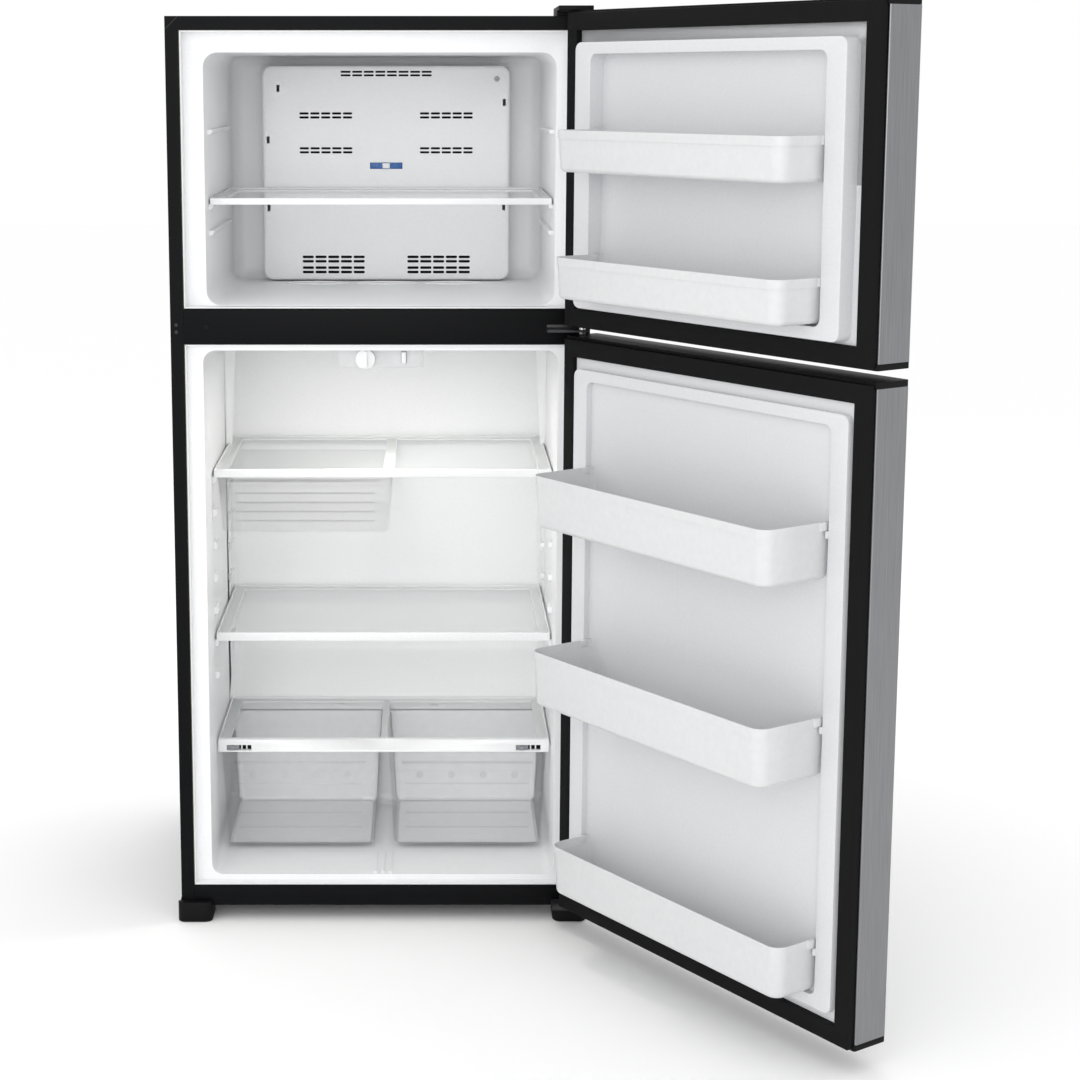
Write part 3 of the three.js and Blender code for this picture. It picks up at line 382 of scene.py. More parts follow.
# grow the picked face flat to a new outline, then push it along Y
def stepTo(piece, outline, y, depth):
    x0, z0, x1, z1 = outline
    bpy.ops.mesh.extrude_region_move(TRANSFORM_OT_translate={"value": (0, 0, 0)})
    bpy.ops.object.mode_set(mode="OBJECT")
    picked = [v for v in piece.data.vertices if v.select]
    low = Vector([min(v.co[i] for v in picked) for i in range(3)])
    high = Vector([max(v.co[i] for v in picked) for i in range(3)])
    target0, target1 = place(x0, y, z0), place(x1, y, z1)
    bpy.ops.object.mode_set(mode="EDIT")
    share = [(target1[i] - target0[i]) / (high[i] - low[i]) if i != 1 else 1 for i in range(3)]
    bpy.ops.transform.resize(value=share, center_override=(low + high) / 2)
    bpy.ops.transform.translate(value=(target0 + target1) / 2 - (low + high) / 2)
    if depth:
        bpy.ops.mesh.extrude_region_move(TRANSFORM_OT_translate={"value": (0, depth / 1000, 0)})


def ledgeBlock(side, wallX, reach, y0, y1, z, height):
    x0, x1 = sorted((side * wallX, side * (wallX - reach)))
    shelf = addBlock("ledge", x0, y0, z - height, x1, y1, z)
    inner = min(abs(x0), abs(x1)) / 1000 + 0.001
    pickEdges(shelf, lambda a, b: abs(a.z - b.z) < 1e-5 and abs(a.x) < inner and a.z < place(0, 0, z).z - 0.001)
    roundPicked(min(reach, height) * 0.8, 3)
    leaveEdit()
    return shelf


def freezerLiner():
    s = freezerSizes
    x0, y0, z0, x1, y1, z1 = sizeOf("freezer_liner")
    wall = s["wall"]
    shelf = sizeOf("freezer_shelf_frame")
    half, reach = shelf[3] + s["shelfRoom"], s["ribReach"]
    ground, ceiling = coverBox[2] - s["underCover"], coverBox[5] + s["overCover"]
    step = [x1 - wall, z0 + wall, z1 - wall, s["stepDepth"]]
    piece = addBlock("freezer_liner_moulding", -step[0], y0, step[1], step[0], step[3], step[2])
    pickFaces(piece, lambda c, n: n.y > 0.9)
    stepTo(piece, (-half, ground, half, ceiling), step[3], y1 - wall - step[3])
    pickFaces(piece, lambda c, n: n.y < -0.9 and c.y < place(0, y0 + 1, 0).y)
    bpy.ops.mesh.delete(type="FACE")
    deep = place(0, step[3] + 1, 0).y
    pickEdges(piece, lambda a, b: max(a.y, b.y) > deep)
    roundPicked(s["corner"], 6)
    pickEdges(piece, lambda a, b: abs(a.y - b.y) < 1e-5 and abs(a.y - place(0, step[3], 0).y) < 1e-4)
    roundPicked(s["step"], 3)
    leaveEdit()
    applyModifier(piece, "SOLIDIFY", thickness=s["wall"] / 1000, offset=1)
    ribs = []
    for side in (-1, 1):
        for z in (ground + s["lowRib"], shelf[2] - s["ribGap"], ground + s["highRib"]):
            start, end = shelf[1] + s["ribFront"], shelf[4] - s["ribBack"]
            ribs.append(ledgeBlock(side, half, reach, start, end, z, reach))
    # moulded loops on the floor in front of the cover
    for x in s["loops"]:
        leaveEdit()
        bpy.ops.mesh.primitive_torus_add(
            major_radius=s["loopRadius"] / 1000, minor_radius=s["loopWire"] / 1000,
            major_segments=40, minor_segments=8,
            location=place(x, coverBox[1] - s["loopGap"], ground),
        )
        loop = bpy.context.object
        loop.scale = (1, s["loopSquash"], 1)
        applyPlace(loop)
        ribs.append(loop)
    joinInto(piece, ribs)
    finishPiece(piece, finishes["whiteLiner"], "cabinet", ("freezer_liner",))


freezerLiner()


fridgeSizes = {
    "wall": 3, "corner": 22, "stepDepth": 24, "humpTop": 300, "humpBack": 392, "shelfRoom": 4,
    "supports": 7, "pitch": 64, "reach": 8, "hookHeight": 14, "hookGap": 0.3,
    "frontHook": (12, 52), "rearHook": (105, 55),
    "underCrisper": 10, "overHousing": 0.3, "humpGap": 3,
    "ledgeFront": 30, "ledgeBack": 8, "ledgeUp": 9, "ledgeHeight": 8,
    "ridges": (-14, 0, 14), "ridgeHalf": 2.5, "ridgeStart": 8, "ridgeSink": 1, "ridgeUp": 3,
}


def fridgeLiner():
    s = fridgeSizes
    x0, y0, z0, x1, y1, z1 = sizeOf("fridge_liner")
    wall = s["wall"]
    shelf, cover = sizeOf("upper_shelf_frame"), sizeOf("crisper_cover_frame")
    half = shelf[3] + s["shelfRoom"]
    ground = sizeOf("crisper_left")[2] - s["underCrisper"]
    ceiling = sizeOf("control_housing")[5] + s["overHousing"]
    stepDepth, hump, back = s["stepDepth"], cover[4] + s["humpGap"], y1 - wall
    piece = addBlock("fridge_liner_moulding", wall - x1, y0, z0 + wall, x1 - wall, stepDepth, z1 - wall)
    pickFaces(piece, lambda c, n: n.y > 0.9)
    stepTo(piece, (-half, ground, half, ceiling), stepDepth, hump - stepDepth)
    stepTo(piece, (-half, s["humpTop"], half, ceiling), hump, back - hump)
    rise = place(0, back - 5, s["humpTop"] + 10)
    pickEdges(piece, lambda a, b: min(a.y, b.y) > rise.y and max(a.z, b.z) < rise.z)
    bpy.ops.transform.translate(value=(0, 0, (s["humpBack"] - s["humpTop"]) / 1000))
    pickFaces(piece, lambda c, n: n.y < -0.9 and c.y < place(0, y0 + 1, 0).y)
    bpy.ops.mesh.delete(type="FACE")
    deep = place(0, stepDepth + 1, 0).y
    pickEdges(piece, lambda a, b: max(a.y, b.y) > deep)
    roundPicked(s["corner"], 6)
    leaveEdit()
    applyModifier(piece, "SOLIDIFY", thickness=s["wall"] / 1000, offset=1)
    hooks = []
    for side in (-1, 1):
        for step in range(s["supports"]):
            z = shelf[2] - s["hookGap"] - s["pitch"] * step
            fronts, rears = [shelf[1] + d for d in s["frontHook"]], [shelf[4] - d for d in s["rearHook"]]
            for start, end in (fronts, rears):
                hooks.append(ledgeBlock(side, half, s["reach"], start, end, z, s["hookHeight"]))
        start, end, z = cover[1] + s["ledgeFront"], cover[4] - s["ledgeBack"], cover[2] + s["ledgeUp"]
        hooks.append(ledgeBlock(side, half, s["reach"], start, end, z, s["ledgeHeight"]))
    for x in s["ridges"]:  # short ridges on the floor behind the opening
        start, low, high = stepDepth + s["ridgeStart"], ground - s["ridgeSink"], ground + s["ridgeUp"]
        hooks.append(addBlock("ridge", x - s["ridgeHalf"], start, low, x + s["ridgeHalf"], cover[1], high))
    joinInto(piece, hooks)
    finishPiece(piece, finishes["whiteLiner"], "cabinet", ("fridge_liner",))


fridgeLiner()
print("liners made")

# evaporator cover

coverSizes = {
    "corner": 20, "front": 6, "wall": 3,
    "topVents": {"x": ((-92, 95),), "down": (12, 19), "slots": 8, "height": 4},
    "smallVents": {"x": ((-176, -66), (68, 178)), "down": (95, 103, 165, 173), "slots": 5, "height": 4.5},
    "lowVents": {"x": ((-172, -42), (42, 173)), "down": (385, 394, 407, 416), "slots": 5, "height": 5.5},
    "clips": [(-217, 45), (-238, 148), (-238, 285), (240, 73), (240, 283)],
    "clipHalf": (3, 7), "clipDepth": 5,
    # black plates behind the vent groups, painted shade
    "shadePlates": [  # centre, low and high edge below the top, half width
        (1, 26, 6, 99), (-121, 108, 90, 60), (123, 108, 90, 60), (-121, 178, 160, 60),
        (123, 178, 160, 60), (-107, 421, 380, 70), (108, 421, 380, 70),
    ],
    "shadePlateDepth": (4.2, 6.4), "recess": (-71, 73), "recessDepth": 1.6, "recessTaper": 0.72, "recessCorner": 8,
    "stripRoom": 3, "stripDepth": (6.6, 8.2), "tab": (-6.4, 8.4), "tabHalf": 5.4, "tabOut": (3.6, 0.4),
    "screwRadius": 5.4, "screwHeight": 2.4, "screwOut": 0.6, "screwSlot": (2.6, 0.5),
    "recessTop": 171, "recessLow": 229, "window": 200, "windowHalf": (33, 6.5), "screw": (225, 26),
}


def slotRow(x0, x1, z, height, count, y0, y1):
    pitch = (x1 - x0) / count
    row = []
    for i in range(count):
        start = x0 + i * pitch + 1.5
        slot = addBlock("slot", start, y0, z - height / 2, start + pitch - 3, y1, z + height / 2)
        pickEdges(slot, lambda a, b: abs(a.y - b.y) > 0.001)
        roundPicked(height * 0.45, 3)
        leaveEdit()
        row.append(slot)
    return row


def evaporatorCover():
    s = coverSizes
    x0, y0, z0, x1, y1, z1 = coverBox
    piece = addBlock("evaporator_cover_moulding", x0, y0, z0, x1, y1, z1)
    pickFaces(piece, lambda c, n: n.y > 0.9)
    bpy.ops.mesh.delete(type="FACE")
    pickEdges(piece, lambda a, b: abs(a.y - b.y) > 0.01)
    roundPicked(s["corner"], 6)
    front = place(0, y0, 0).y + 0.0001
    pickEdges(piece, lambda a, b: max(a.y, b.y) < front)
    roundPicked(s["front"], 4)
    leaveEdit()
    applyModifier(piece, "SOLIDIFY", thickness=s["wall"] / 1000, offset=-1)
    # the trapezoid recess round the air control
    recess = addBlock(
        "recess", s["recess"][0], y0 - 2, z1 - s["recessLow"],
        s["recess"][1], y0 + s["recessDepth"], z1 - s["recessTop"],
    )
    low = place(0, 0, z1 - s["recessLow"] + 2).z
    pickEdges(recess, lambda a, b: max(a.z, b.z) < low and abs(a.y - b.y) < 1e-5)
    bpy.ops.transform.resize(value=(s["recessTaper"], 1, 1), center_override=place(1, y0, z1 - s["recessLow"]))
    pickEdges(recess, lambda a, b: abs(a.y - b.y) > 0.001)
    roundPicked(s["recessCorner"], 4)
    leaveEdit()
    cutWith(piece, recess)
    slots = []
    a, b = y0 - 1, y0 + 5
    for vents in (s["topVents"], s["smallVents"], s["lowVents"]):
        for span in vents["x"]:
            for down in vents["down"]:
                slots += slotRow(*span, z1 - down, vents["height"], vents["slots"], a, b)
    wide, tall = s["windowHalf"]
    level = z1 - s["window"]
    slots.append(addBlock("window", 1 - wide, a, level - tall, 1 + wide, b, level + tall))
    across, up = s["clipHalf"]
    for x, down in s["clips"]:
        slots.append(addBlock("clip", x - across, a, z1 - down - up, x + across, y0 + s["clipDepth"], z1 - down + up))
    cutter = joinInto(slots[0], slots[1:])
    cutWith(piece, cutter)
    finishPiece(piece, finishes["whiteLiner"], "cabinet", ("evaporator_cover",))
    # a black plate behind each group of vents, painted shade that darkens the slots
    near, far = s["shadePlateDepth"]
    for i, (x, low, high, half) in enumerate(s["shadePlates"]):
        name = "vent_shade_plate_" + str(i + 1)
        shadePlate = addBlock(name, x - half, y0 + near, z1 - low, x + half, y0 + far, z1 - high)
        roundAll(shadePlate, 0.5, 2)
        finishPiece(shadePlate, finishes["blackPlastic"], "cabinet")
    # the blue strip behind the air control's window, and the white tab in front of it
    room, (near, far) = s["stripRoom"], s["stripDepth"]
    strip = addBlock(
        "airflow_strip", 1 - wide - room, y0 + near, level - tall - room,
        1 + wide + room, y0 + far, level + tall + room,
    )
    roundAll(strip, 0.3, 2)
    finishPiece(strip, finishes["bluePlastic"], "cabinet")
    (left, right), half, (out, near) = s["tab"], s["tabHalf"], s["tabOut"]
    tab = addBlock("airflow_tab", left, y0 - out, level - half, right, y0 - near, level + half)
    roundAll(tab, 1.1, 3)
    finishPiece(tab, finishes["whiteTrim"], "airflow_slide")
    x, z = s["screw"][0], z1 - s["screw"][1]
    screw = addRound("cover_screw", x, y0 - s["screwOut"], z, s["screwRadius"], s["screwHeight"])
    for across, up in (s["screwSlot"], s["screwSlot"][::-1]):  # one cut at a time: a joined cross empties the head
        cutWith(screw, addBlock("cross", x - across, y0 - 3, z - up, x + across, y0 - 1, z + up))
    roundAll(screw, 0.3, 2)
    finishPiece(screw, finishes["stainless"], "cabinet")


evaporatorCover()
print("evaporator cover made")


# open boxes: bins and drawers

def openBox(name, box, inset, wall, corner, floorRadius, bandHeight, bandOut):
    x0, y0, z0, x1, y1, z1 = box
    piece = addBlock(name, *box)
    centre = place((x0 + x1) / 2, (y0 + y1) / 2, z0)
    pickFaces(piece, lambda c, n: n.z < -0.9)
    share = ((x1 - x0 - 2 * inset) / (x1 - x0), (y1 - y0 - 2 * inset) / (y1 - y0), 1)
    bpy.ops.transform.resize(value=share, center_override=centre)
    pickFaces(piece, lambda c, n: n.z > 0.9)
    bpy.ops.mesh.delete(type="FACE")
    pickEdges(piece, lambda a, b: abs(a.z - b.z) > 0.01)
    roundPicked(corner, 6)
    low = place(0, 0, z0).z + 0.0002
    pickEdges(piece, lambda a, b: max(a.z, b.z) < low)
    roundPicked(floorRadius, 4)
    startEdit(piece, "FACE")
    bpy.ops.object.mode_set(mode="EDIT")
    bpy.ops.mesh.select_all(action="SELECT")
    split = place(0, 0, z1 - bandHeight)
    bpy.ops.mesh.bisect(plane_co=split, plane_no=(0, 0, 1))
    pickFaces(piece, lambda c, n: c.z > split.z)
    bpy.ops.mesh.extrude_region_shrink_fatten(TRANSFORM_OT_shrink_fatten={"value": bandOut / 1000})
    leaveEdit()
    applyModifier(piece, "SOLIDIFY", thickness=wall / 1000, offset=-1)
    return piece


binSizes = {
    "wall": 2.3, "corner": 22, "floor": 9, "band": 15, "bandOut": 1.4, "inset": 3,
    "earReach": 3, "earAlong": (24, 40), "earHeight": 14,
}


def doorBin(node):
    s = binSizes
    x0, y0, z0, x1, y1, z1 = sizeOf(node)
    out, reach, (near, far) = s["bandOut"], s["earReach"], s["earAlong"]
    shell = (x0 + reach + out, y0 + out, z0, x1 - reach - out, y1 - out, z1)
    piece = openBox(node + "_tray", shell, s["inset"], s["wall"], s["corner"], s["floor"], s["band"], out)
    ears = []
    for side in (-1, 1):
        edge = x1 - reach if side > 0 else x0 + reach
        low, high = sorted((edge - side * reach, edge + side * reach))
        ear = addBlock("ear", low, y0 + near, z1 - s["earHeight"], high, y0 + far, z1)
        roundAll(ear, 1, 2)
        ears.append(ear)
    joinInto(piece, ears)
    # the bins take the darker copy of the white plastic: painted shade
    finishPiece(piece, finishes["shadedWhitePlastic"], node, (node,), shut=True)


for node in ("freezer_bin_lower", "freezer_bin_upper", "fridge_bin_lower", "fridge_bin_middle", "fridge_bin_upper"):
    doorBin(node)
print("door bins made")


crisperTray = {
    "inset": 9, "corner": 14, "floor": 12, "band": 40, "ribs": (128, 158, 188, 218), "lip": (22, 19),
}
drawerSizes = {
    "crisper_left": crisperTray, "crisper_right": crisperTray,
    "deli_drawer": {
        "inset": 6, "corner": 10, "floor": 9, "band": 16, "ribs": (742, 760, 778, 796), "lip": (6, 3),
    },
}
drawerDetails = {
    "wall": 2.2, "lipOut": 8, "lipInset": 26, "ribInset": 34, "ribDepth": (0.9, 1.2), "ribHalf": 1.5,
    "marks": 4, "markUp": 236, "markRadius": 7, "markHeight": 1.6, "paleBackRear": 2, "paleBackFloor": 3.4,
}


def drawer(node):
    s, d = drawerSizes[node], drawerDetails
    x0, y0, z0, x1, y1, z1 = sizeOf(node)
    front = y0 + d["lipOut"]  # the finger lip stands in front of the wall
    shell = (x0 + 1, front + 1, z0, x1 - 1, y1 - 1, z1)
    piece = openBox(node + "_tray", shell, s["inset"], d["wall"], s["corner"], s["floor"], s["band"], 1)
    low, high = s["lip"]
    lip = addBlock("lip", x0 + d["lipInset"], y0, z1 - low, x1 - d["lipInset"], front + 3, z1 - high)
    roundAll(lip, 1.2, 3)
    extras = [lip]
    slope = s["inset"] / (z1 - z0)
    for z in s["ribs"]:
        y = front + 1 + slope * (z1 - z)
        (near, far), half = d["ribDepth"], d["ribHalf"]
        rib = addBlock("rib", x0 + d["ribInset"], y - near, z - half, x1 - d["ribInset"], y + far, z + half)
        roundAll(rib, 0.7, 2)
        extras.append(rib)
    if "crisper" in node:
        up = d["markUp"]
        for i in range(d["marks"]):
            x = x0 + (x1 - x0) * (0.2 + 0.2 * i)
            mark = addRound("mark", x, front + 1.1 + slope * (z1 - up), up, d["markRadius"], d["markHeight"])
            roundAll(mark, 0.5, 2)
            extras.append(mark)
    joinInto(piece, extras)
    finishPiece(piece, finishes["clearPlastic"], node, (node,))
    # a crisper's back and floor take a pale opaque finish: painted light standing in for the lit liner seen through
    # the clear walls
    if "crisper" in node:
        piece.data.materials.append(finishes["litPaleBack"])
        rear = place(0, y1 - s["corner"] - d["paleBackRear"], 0).y
        ground = place(0, 0, z0 + d["paleBackFloor"]).z
        for face in piece.data.polygons:
            if face.center.z < ground or face.center.y > rear:
                face.material_index = 1


for node in drawerSizes:
    drawer(node)
print("drawers made")

# door liners and skins

doorSizes = {
    "freezer": {"outer": 325, "inner": 284, "height": 30, "recessLow": 60, "recessHigh": 76, "end": 20},
    "fridge": {"outer": 338, "inner": 302, "height": 15, "recessLow": 70, "recessHigh": 74, "end": 20},
    "crest": 9, "pocket": 14, "wall": 3, "recessDepth": 12, "floorRound": 6,
    "innerFace": -13,  # the door's inner face when shut
    "ends": 35,  # from the liner's edge to the door's own end
    "lugIn": 4.5, "lugOut": 0.5, "lugAlong": (2, 18), "lugDown": (26, 14.3),
    "skin": 1.2, "fold": 29, "foldRound": 3,
}


def doorLiner(door):
    s, common = doorSizes[door], doorSizes
    x0, y0, z0, x1, y1, z1 = sizeOf(door + "_door_liner")
    inner = common["innerFace"]
    leaveEdit()
    low, high = place(x0, inner, z0), place(x1, inner, z1)
    bpy.ops.mesh.primitive_plane_add(size=1, location=(low + high) / 2, rotation=(-math.pi / 2, 0, 0))
    piece = bpy.context.object
    piece.name = door + "_door_liner_moulding"
    piece.scale = (high.x - low.x, high.z - low.z, 1)
    applyPlace(piece)
    d0, d1 = z0 - common["ends"], z1 + common["ends"]
    ring0, ring1 = d0 + s["recessLow"], d1 - s["recessHigh"]
    pickFaces(piece, lambda c, n: True)
    stepTo(piece, (-s["outer"], ring0 - s["end"], s["outer"], ring1 + s["end"]), inner, s["height"])
    depth = -s["height"] - common["recessDepth"]
    stepTo(piece, (-s["inner"], ring0, s["inner"], ring1), inner + s["height"], depth)
    crestY = place(0, inner + s["height"], 0).y
    floorY = place(0, inner - common["recessDepth"], 0).y
    pickEdges(piece, lambda a, b: abs(a.y - b.y) > 0.001)
    roundPicked(common["pocket"], 5)
    pickEdges(piece, lambda a, b: min(a.y, b.y) > crestY - 1e-4)
    roundPicked(min(common["crest"], s["height"] * 0.45), 4)
    pickEdges(piece, lambda a, b: max(a.y, b.y) < floorY + 1e-4)
    roundPicked(common["floorRound"], 3)
    leaveEdit()
    applyModifier(piece, "SOLIDIFY", thickness=common["wall"] / 1000, offset=-1)
    lugs = []  # one on each side for each bin
    near, far = common["lugAlong"]
    low, high = common["lugDown"]
    for node in frame["nodes"]:
        if node.startswith(door + "_bin"):
            top = sizeOf(node)[5]
            for side in (-1, 1):
                a, b = sorted((side * (s["inner"] - common["lugIn"]), side * (s["inner"] + common["lugOut"])))
                lug = addBlock("lug", a, inner + near, top - low, b, inner + far, top - high)
                roundAll(lug, 1.2, 2)
                lugs.append(lug)
    joinInto(piece, lugs)
    stands = (door + "_door_liner",)
    # the door liner takes the darkened copy of the white plastic: painted shade
    finishPiece(piece, finishes["doorLiner"], door + "_door", stands, shut=True)


def doorSkin(door):
    s = doorSizes
    x0, y0, z0, x1, y1, z1 = sizeOf(door + "_door_skin")
    piece = addBlock(door + "_door_skin_folded", x0, y0, z0, x1, y1, z1)
    pickFaces(piece, lambda c, n: abs(n.z) > 0.9)
    bpy.ops.mesh.delete(type="FACE")
    pickFaces(piece, lambda c, n: n.y > 0.9)
    stepTo(piece, (x0 + s["fold"], z0, x1 - s["fold"], z1), y1, 0)
    pickFaces(piece, lambda c, n: n.y > 0.9 and abs(c.x) < 0.05)
    bpy.ops.mesh.delete(type="FACE")
    pickEdges(piece, lambda a, b: abs(a.z - b.z) > 0.1 and abs(a.x) > (x1 - 1) / 1000)
    roundPicked(s["foldRound"], 4)
    leaveEdit()
    applyModifier(piece, "SOLIDIFY", thickness=s["skin"] / 1000, offset=-1)
    stands = (door + "_door_skin",)
    finishPiece(piece, finishes["stainless"], door + "_door", stands, shut=True)


for door in ("freezer", "fridge"):
    doorLiner(door)
    doorSkin(door)
print("doors made")

# eased CAD pieces: node, edge radius in mm, finish

easedSizes = {
    "centre_rail": (0.5, "blackEnamel"), "base_frame": (0.4, "blackEnamel"),
    "freezer_shelf_frame": (1.4, "whiteTrim"), "upper_shelf_frame": (2.2, "whiteTrim"),
    "middle_shelf_frame": (2.2, "whiteTrim"),
    # the control housing takes the darker copy of the white plastic: painted shade
    "control_housing": (2.5, "shadedWhitePlastic"), "temperature_knob": (1.2, "whiteTrim"),
    "light_switch": (1.2, "whiteTrim"),
    "humidity_slide_left": (0.6, "greyPlastic"), "humidity_slide_right": (0.6, "greyPlastic"),
    "airflow_slide": (0.8, "bluePlastic"), "top_hinge_cover": (2.0, "blackPlastic"),
    "left_foot": (4, "blackPlastic"), "right_foot": (4, "blackPlastic"), "rear_rollers": (1.2, "greyPlastic"),
    "top_hinge": (0.6, "hingeSteel"), "centre_hinge": (0.6, "hingeSteel"), "bottom_hinge": (0.6, "hingeSteel"),
    "drain_pan": (1.0, "blackPlastic"), "condenser_fan_motor": (1.5, "greyPlastic"),
    "evaporator_fan_motor": (1.5, "greyPlastic"), "condenser_fan": (0.6, "blackPlastic"),
    "evaporator_fan": (0.6, "greyPlastic"), "compressor_cover": (0.5, "galvanised"),
    "freezer_shelf_glass": (0.6, "shelfGlass"), "upper_shelf_glass": (0.6, "shelfGlass"),
    "middle_shelf_glass": (0.6, "shelfGlass"), "crisper_cover_glass": (0.6, "shelfGlass"),
    "freezer_door_top_cap": (1.5, "blackPlastic"), "freezer_door_bottom_cap": (1.5, "blackPlastic"),
    "fridge_door_top_cap": (1.5, "blackPlastic"), "fridge_door_bottom_cap": (1.5, "blackPlastic"),
    "freezer_door_gasket": (2.5, "gasketRubber"), "fridge_door_gasket": (2.5, "gasketRubber"),
    "freezer_door_handle": (4, "stainless"), "fridge_door_handle": (4, "stainless"),
}
bodyOf = {node: body for body, nodes in frame["record"]["behaviour"]["bodies"].items() for node in nodes}
for node, (radius, finish) in easedSizes.items():
    piece = easedCopy(node, radius, 3)
    finishPiece(piece, finishes[finish], bodyOf[node], (node,))
print("eased pieces made")

# crisper cover

crisperSizes = {
    "ease": 1.2, "grip": 58, "gripUp": 38, "gripDepth": 3.2, "gripTool": 12, "vent": 48, "ventIn": 16,
    "slotAt": 100, "slotHalf": 9, "slotBack": (12, 5), "slotUp": (8, 13),
    "bars": 4, "barHalf": 1.3, "barDepth": (7.6, 10.5), "barUp": (1, 16),
    # black plates behind the humidity vents, painted shade
    "shadePlateHalf": 26, "shadePlateDepth": (10.8, 12.4), "shadePlateUp": (1.5, 15.5),
}


def crisperCover():
    s = crisperSizes
    piece = easedCopy("crisper_cover_frame", s["ease"], 3)
    x0, y0, z0, x1, y1, z1 = sizeOf("crisper_cover_frame")
    gripY = y0 + s["gripDepth"] - s["gripTool"] / 2
    cutters = [addRound("grip", 0, gripY, z1 + s["gripUp"], s["grip"], s["gripTool"], sides=96)]
    half, (far, near), (low, high) = s["slotHalf"], s["slotBack"], s["slotUp"]
    for side in (-1, 1):
        x = side * s["slotAt"]
        cutters.append(addBlock("slot", x - half, y1 - far, z0 + low, x + half, y1 - near, z0 + high))
    cutWith(piece, joinInto(cutters[0], cutters[1:]))
    # upright bars behind each humidity slide
    bars = []
    half, (near, far), (low, high) = s["barHalf"], s["barDepth"], s["barUp"]
    for side in (-1, 1):
        left = side * (x1 - s["ventIn"] - s["vent"] / 2) - s["vent"] / 2
        for i in range(s["bars"]):
            x = left + s["vent"] * (i + 1) / (s["bars"] + 1)
            bars.append(addBlock("bar", x - half, y0 + near, z0 + low, x + half, y0 + far, z0 + high))
    joinInto(piece, bars)
    finishPiece(piece, finishes["whiteTrim"], "cabinet", ("crisper_cover_frame",))
    # a black plate behind each humidity vent, painted shade that darkens the slots
    half, (near, far), (low, high) = s["shadePlateHalf"], s["shadePlateDepth"], s["shadePlateUp"]
    for side, name in ((-1, "humidity_shade_plate_left"), (1, "humidity_shade_plate_right")):
        x = side * (x1 - s["ventIn"] - s["vent"] / 2)
        shadePlate = addBlock(name, x - half, y0 + near, z0 + low, x + half, y0 + far, z0 + high)
        roundAll(shadePlate, 0.4, 2)
        finishPiece(shadePlate, finishes["blackPlastic"], "cabinet")


crisperCover()

# CAD nodes that show as they are
keptFinishes = {
    "cabinet_shell": "blackEnamel", "back_panel": "galvanised", "foam_insulation": "rigidFoam",
    "evaporator_coil": "finAluminium", "compressor": "compressorEnamel", "condenser_coil": "blackEnamel",
    "freezer_door_foam": "rigidFoam", "fridge_door_foam": "rigidFoam",
}
for node, finish in keptFinishes.items():
    kept = frame["nodes"][node]
    if not kept.material_slots:
        kept.data.materials.append(finishes[finish])
    kept.material_slots[0].material = finishes[finish]

# small fittings

fittingSizes = {
    "screwIn": 10.7, "screwsUp": {"a": 35, "b": 22}, "screwRadius": 3.4, "screwHeight": 1.8, "screwOut": 0.9,
    "drive": (2.4, 0.5), "plugIn": 42.1, "plugUp": 31.5, "plugRadius": 4.6, "plugHeight": 1.6, "plugOut": 0.8,
    "mitre": 24, "mitreReach": 0.7, "seam": 0.5, "seamDepth": (-0.35, 0.15), "pin": 6.2,
    "lampIn": 12, "lampFront": 32, "lampBack": 8, "lampUp": (1, 5), "lampCorner": 8,
}


def fittings():
    s = fittingSizes
    shell, rail = sizeOf("cabinet_shell"), sizeOf("centre_rail")
    long, thin = s["drive"]
    for letter, up in s["screwsUp"].items():
        x, z = shell[0] + s["screwIn"], rail[2] + up
        screw = addRound("stile_screw_" + letter, x, -s["screwOut"], z, s["screwRadius"], s["screwHeight"])
        cutWith(screw, addBlock("drive", x - long, -3, z - thin, x + long, -1.2, z + thin))
        roundAll(screw, 0.35, 2)
        finishPiece(screw, finishes["hingeSteel"], "cabinet")
    x, z = rail[0] + s["plugIn"], rail[2] + s["plugUp"]
    plug = addRound("rail_plug", x, -s["plugOut"], z, s["plugRadius"], s["plugHeight"])
    roundAll(plug, 0.6, 3)
    finishPiece(plug, finishes["blackPlastic"], "cabinet")
    # the seam where the top rail meets each stile
    front, back = s["seamDepth"]
    for side, name in ((-1, "mitre_seam_left"), (1, "mitre_seam_right")):
        x, z = side * (shell[3] - s["mitre"] / 2), shell[5] - s["mitre"] / 2
        reach = s["mitre"] * s["mitreReach"]
        seam = addBlock(name, x - reach, front, z - s["seam"], x + reach, back, z + s["seam"])
        pickFaces(seam, lambda c, n: True)
        bpy.ops.transform.rotate(
            value=math.radians(-45 * side), orient_axis="Y", orient_type="GLOBAL",
            center_override=place(x, 0, z),
        )
        leaveEdit()
        roundAll(seam, 0.1, 1)
        finishPiece(seam, finishes["hingeSteel"], "cabinet")
    # a plated sleeve on the pin, in the gap between the doors
    low, high = sizeOf("fridge_door_top_cap")[5], sizeOf("freezer_door_bottom_cap")[2]
    x, y = pin.x * 1000, (pin.y - cabinetLow.y) * 1000
    sleeve = addRound("centre_pin_sleeve", x, y, (low + high) / 2, s["pin"], high - low - 2, "Z")
    roundAll(sleeve, 0.5, 2)
    finishPiece(sleeve, finishes["platedSteel"], "cabinet")
    x0, y0, z0, x1, y1, z1 = sizeOf("control_housing")
    inset, (low, high) = s["lampIn"], s["lampUp"]
    front, back = y0 + s["lampFront"], y1 - s["lampBack"]
    lamp = addBlock("lamp_lens", x0 + inset, front, z0 + low, x1 - inset, back, z0 + high)
    pickEdges(lamp, lambda a, b: abs(a.z - b.z) > 0.001)
    roundPicked(s["lampCorner"], 4)
    leaveEdit()
    roundAll(lamp, 1, 2)
    finishPiece(lamp, finishes["lampGlow"], "cabinet")


fittings()
print("fittings made")

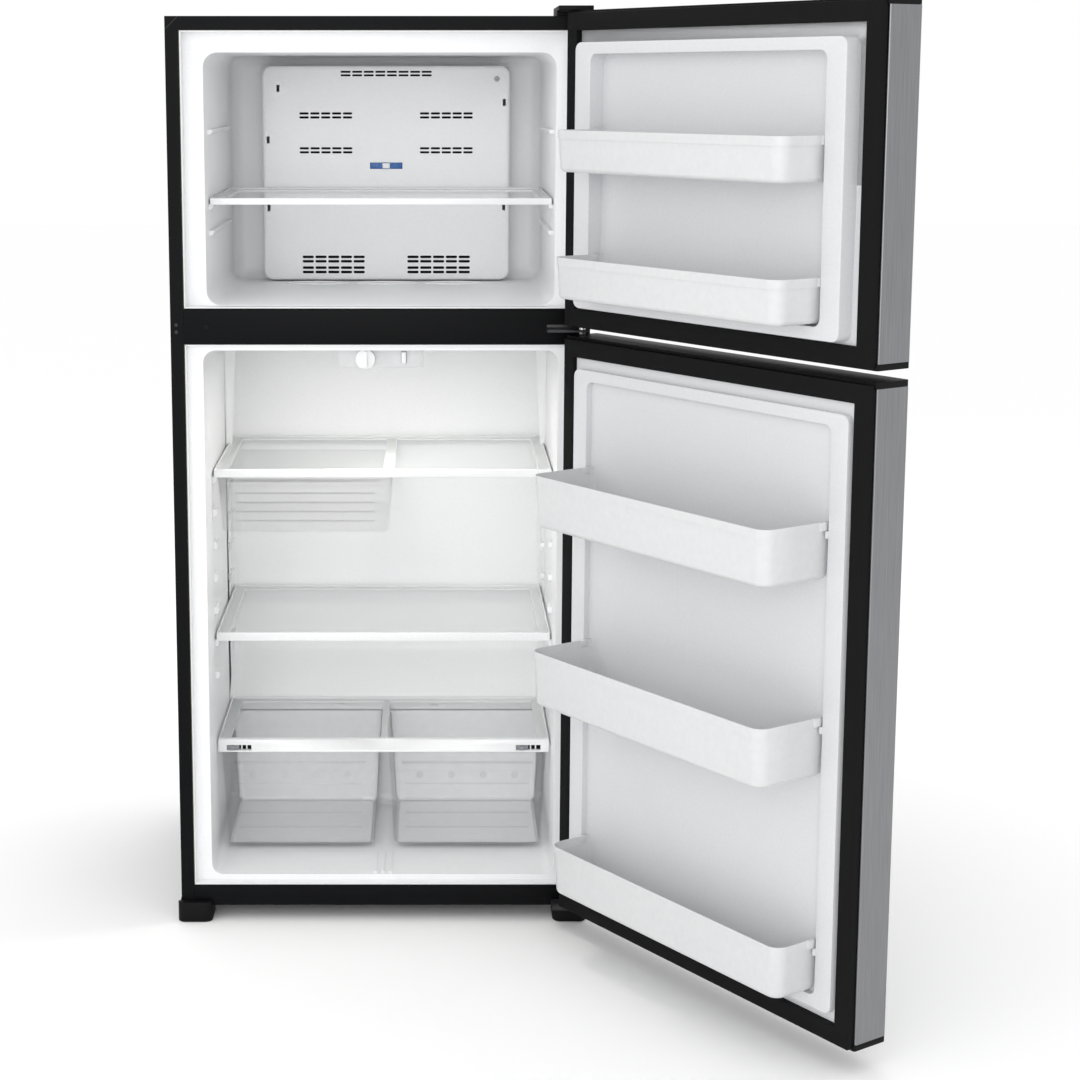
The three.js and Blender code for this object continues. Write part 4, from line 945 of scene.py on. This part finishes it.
# studio

studioSizes = {
    "camera": (0.094, -4.2195, 1.5391), "tilt": 80.533, "lens": 71.86, "shiftX": 0.1, "shiftY": -0.09,
    "floor": 40, "floorGap": 0.0005, "sky": 1.0, "aim": (0.1, -0.2, 0.8),
    "paper": (0.99, 0.99, 0.99, 1), "paperRough": 0.8, "sensor": 36,
    "lamps": [
        {"place": (-0.4, -5.6, 1.9), "size": 2.6, "power": 55},
        {"place": (-2.6, -4.0, 3.2), "size": 3.0, "power": 20},
        {"place": (0.2, 2.8, 3.6), "size": 3.0, "power": 30},
    ],
}


def studio():
    s = studioSizes
    leaveEdit()
    bpy.ops.mesh.primitive_plane_add(size=s["floor"], location=(0, 0, floorZ - s["floorGap"]))
    floor = bpy.context.object
    floor.name = "studio_floor"
    paper = bpy.data.materials.new("palePaper")
    paper.use_nodes = True
    shader = paper.node_tree.nodes["Principled BSDF"]
    shader.inputs["Base Color"].default_value = s["paper"]
    shader.inputs["Specular IOR Level"].default_value = 0.0
    shader.inputs["Roughness"].default_value = s["paperRough"]
    floor.data.materials.append(paper)
    world = bpy.data.worlds.new("studioSky")
    world.use_nodes = True
    sky = world.node_tree.nodes["Background"]
    sky.inputs["Color"].default_value = (1, 1, 1, 1)
    sky.inputs["Strength"].default_value = s["sky"]
    bpy.context.scene.world = world
    aim = Vector(s["aim"])
    for lamp in s["lamps"]:
        bpy.ops.object.light_add(type="AREA", location=lamp["place"])
        light = bpy.context.object
        light.data.size = lamp["size"]
        light.data.energy = lamp["power"]
        light.rotation_euler = (aim - Vector(lamp["place"])).to_track_quat("-Z", "Y").to_euler()
    bpy.ops.object.camera_add(location=s["camera"], rotation=(math.radians(s["tilt"]), 0, 0))
    camera = bpy.context.object
    camera.data.lens = s["lens"]
    camera.data.sensor_width = s["sensor"]
    camera.data.shift_x = s["shiftX"]
    camera.data.shift_y = s["shiftY"]
    bpy.context.scene.camera = camera
    bpy.context.scene.view_settings.view_transform = "Standard"


studio()
print("studio made")
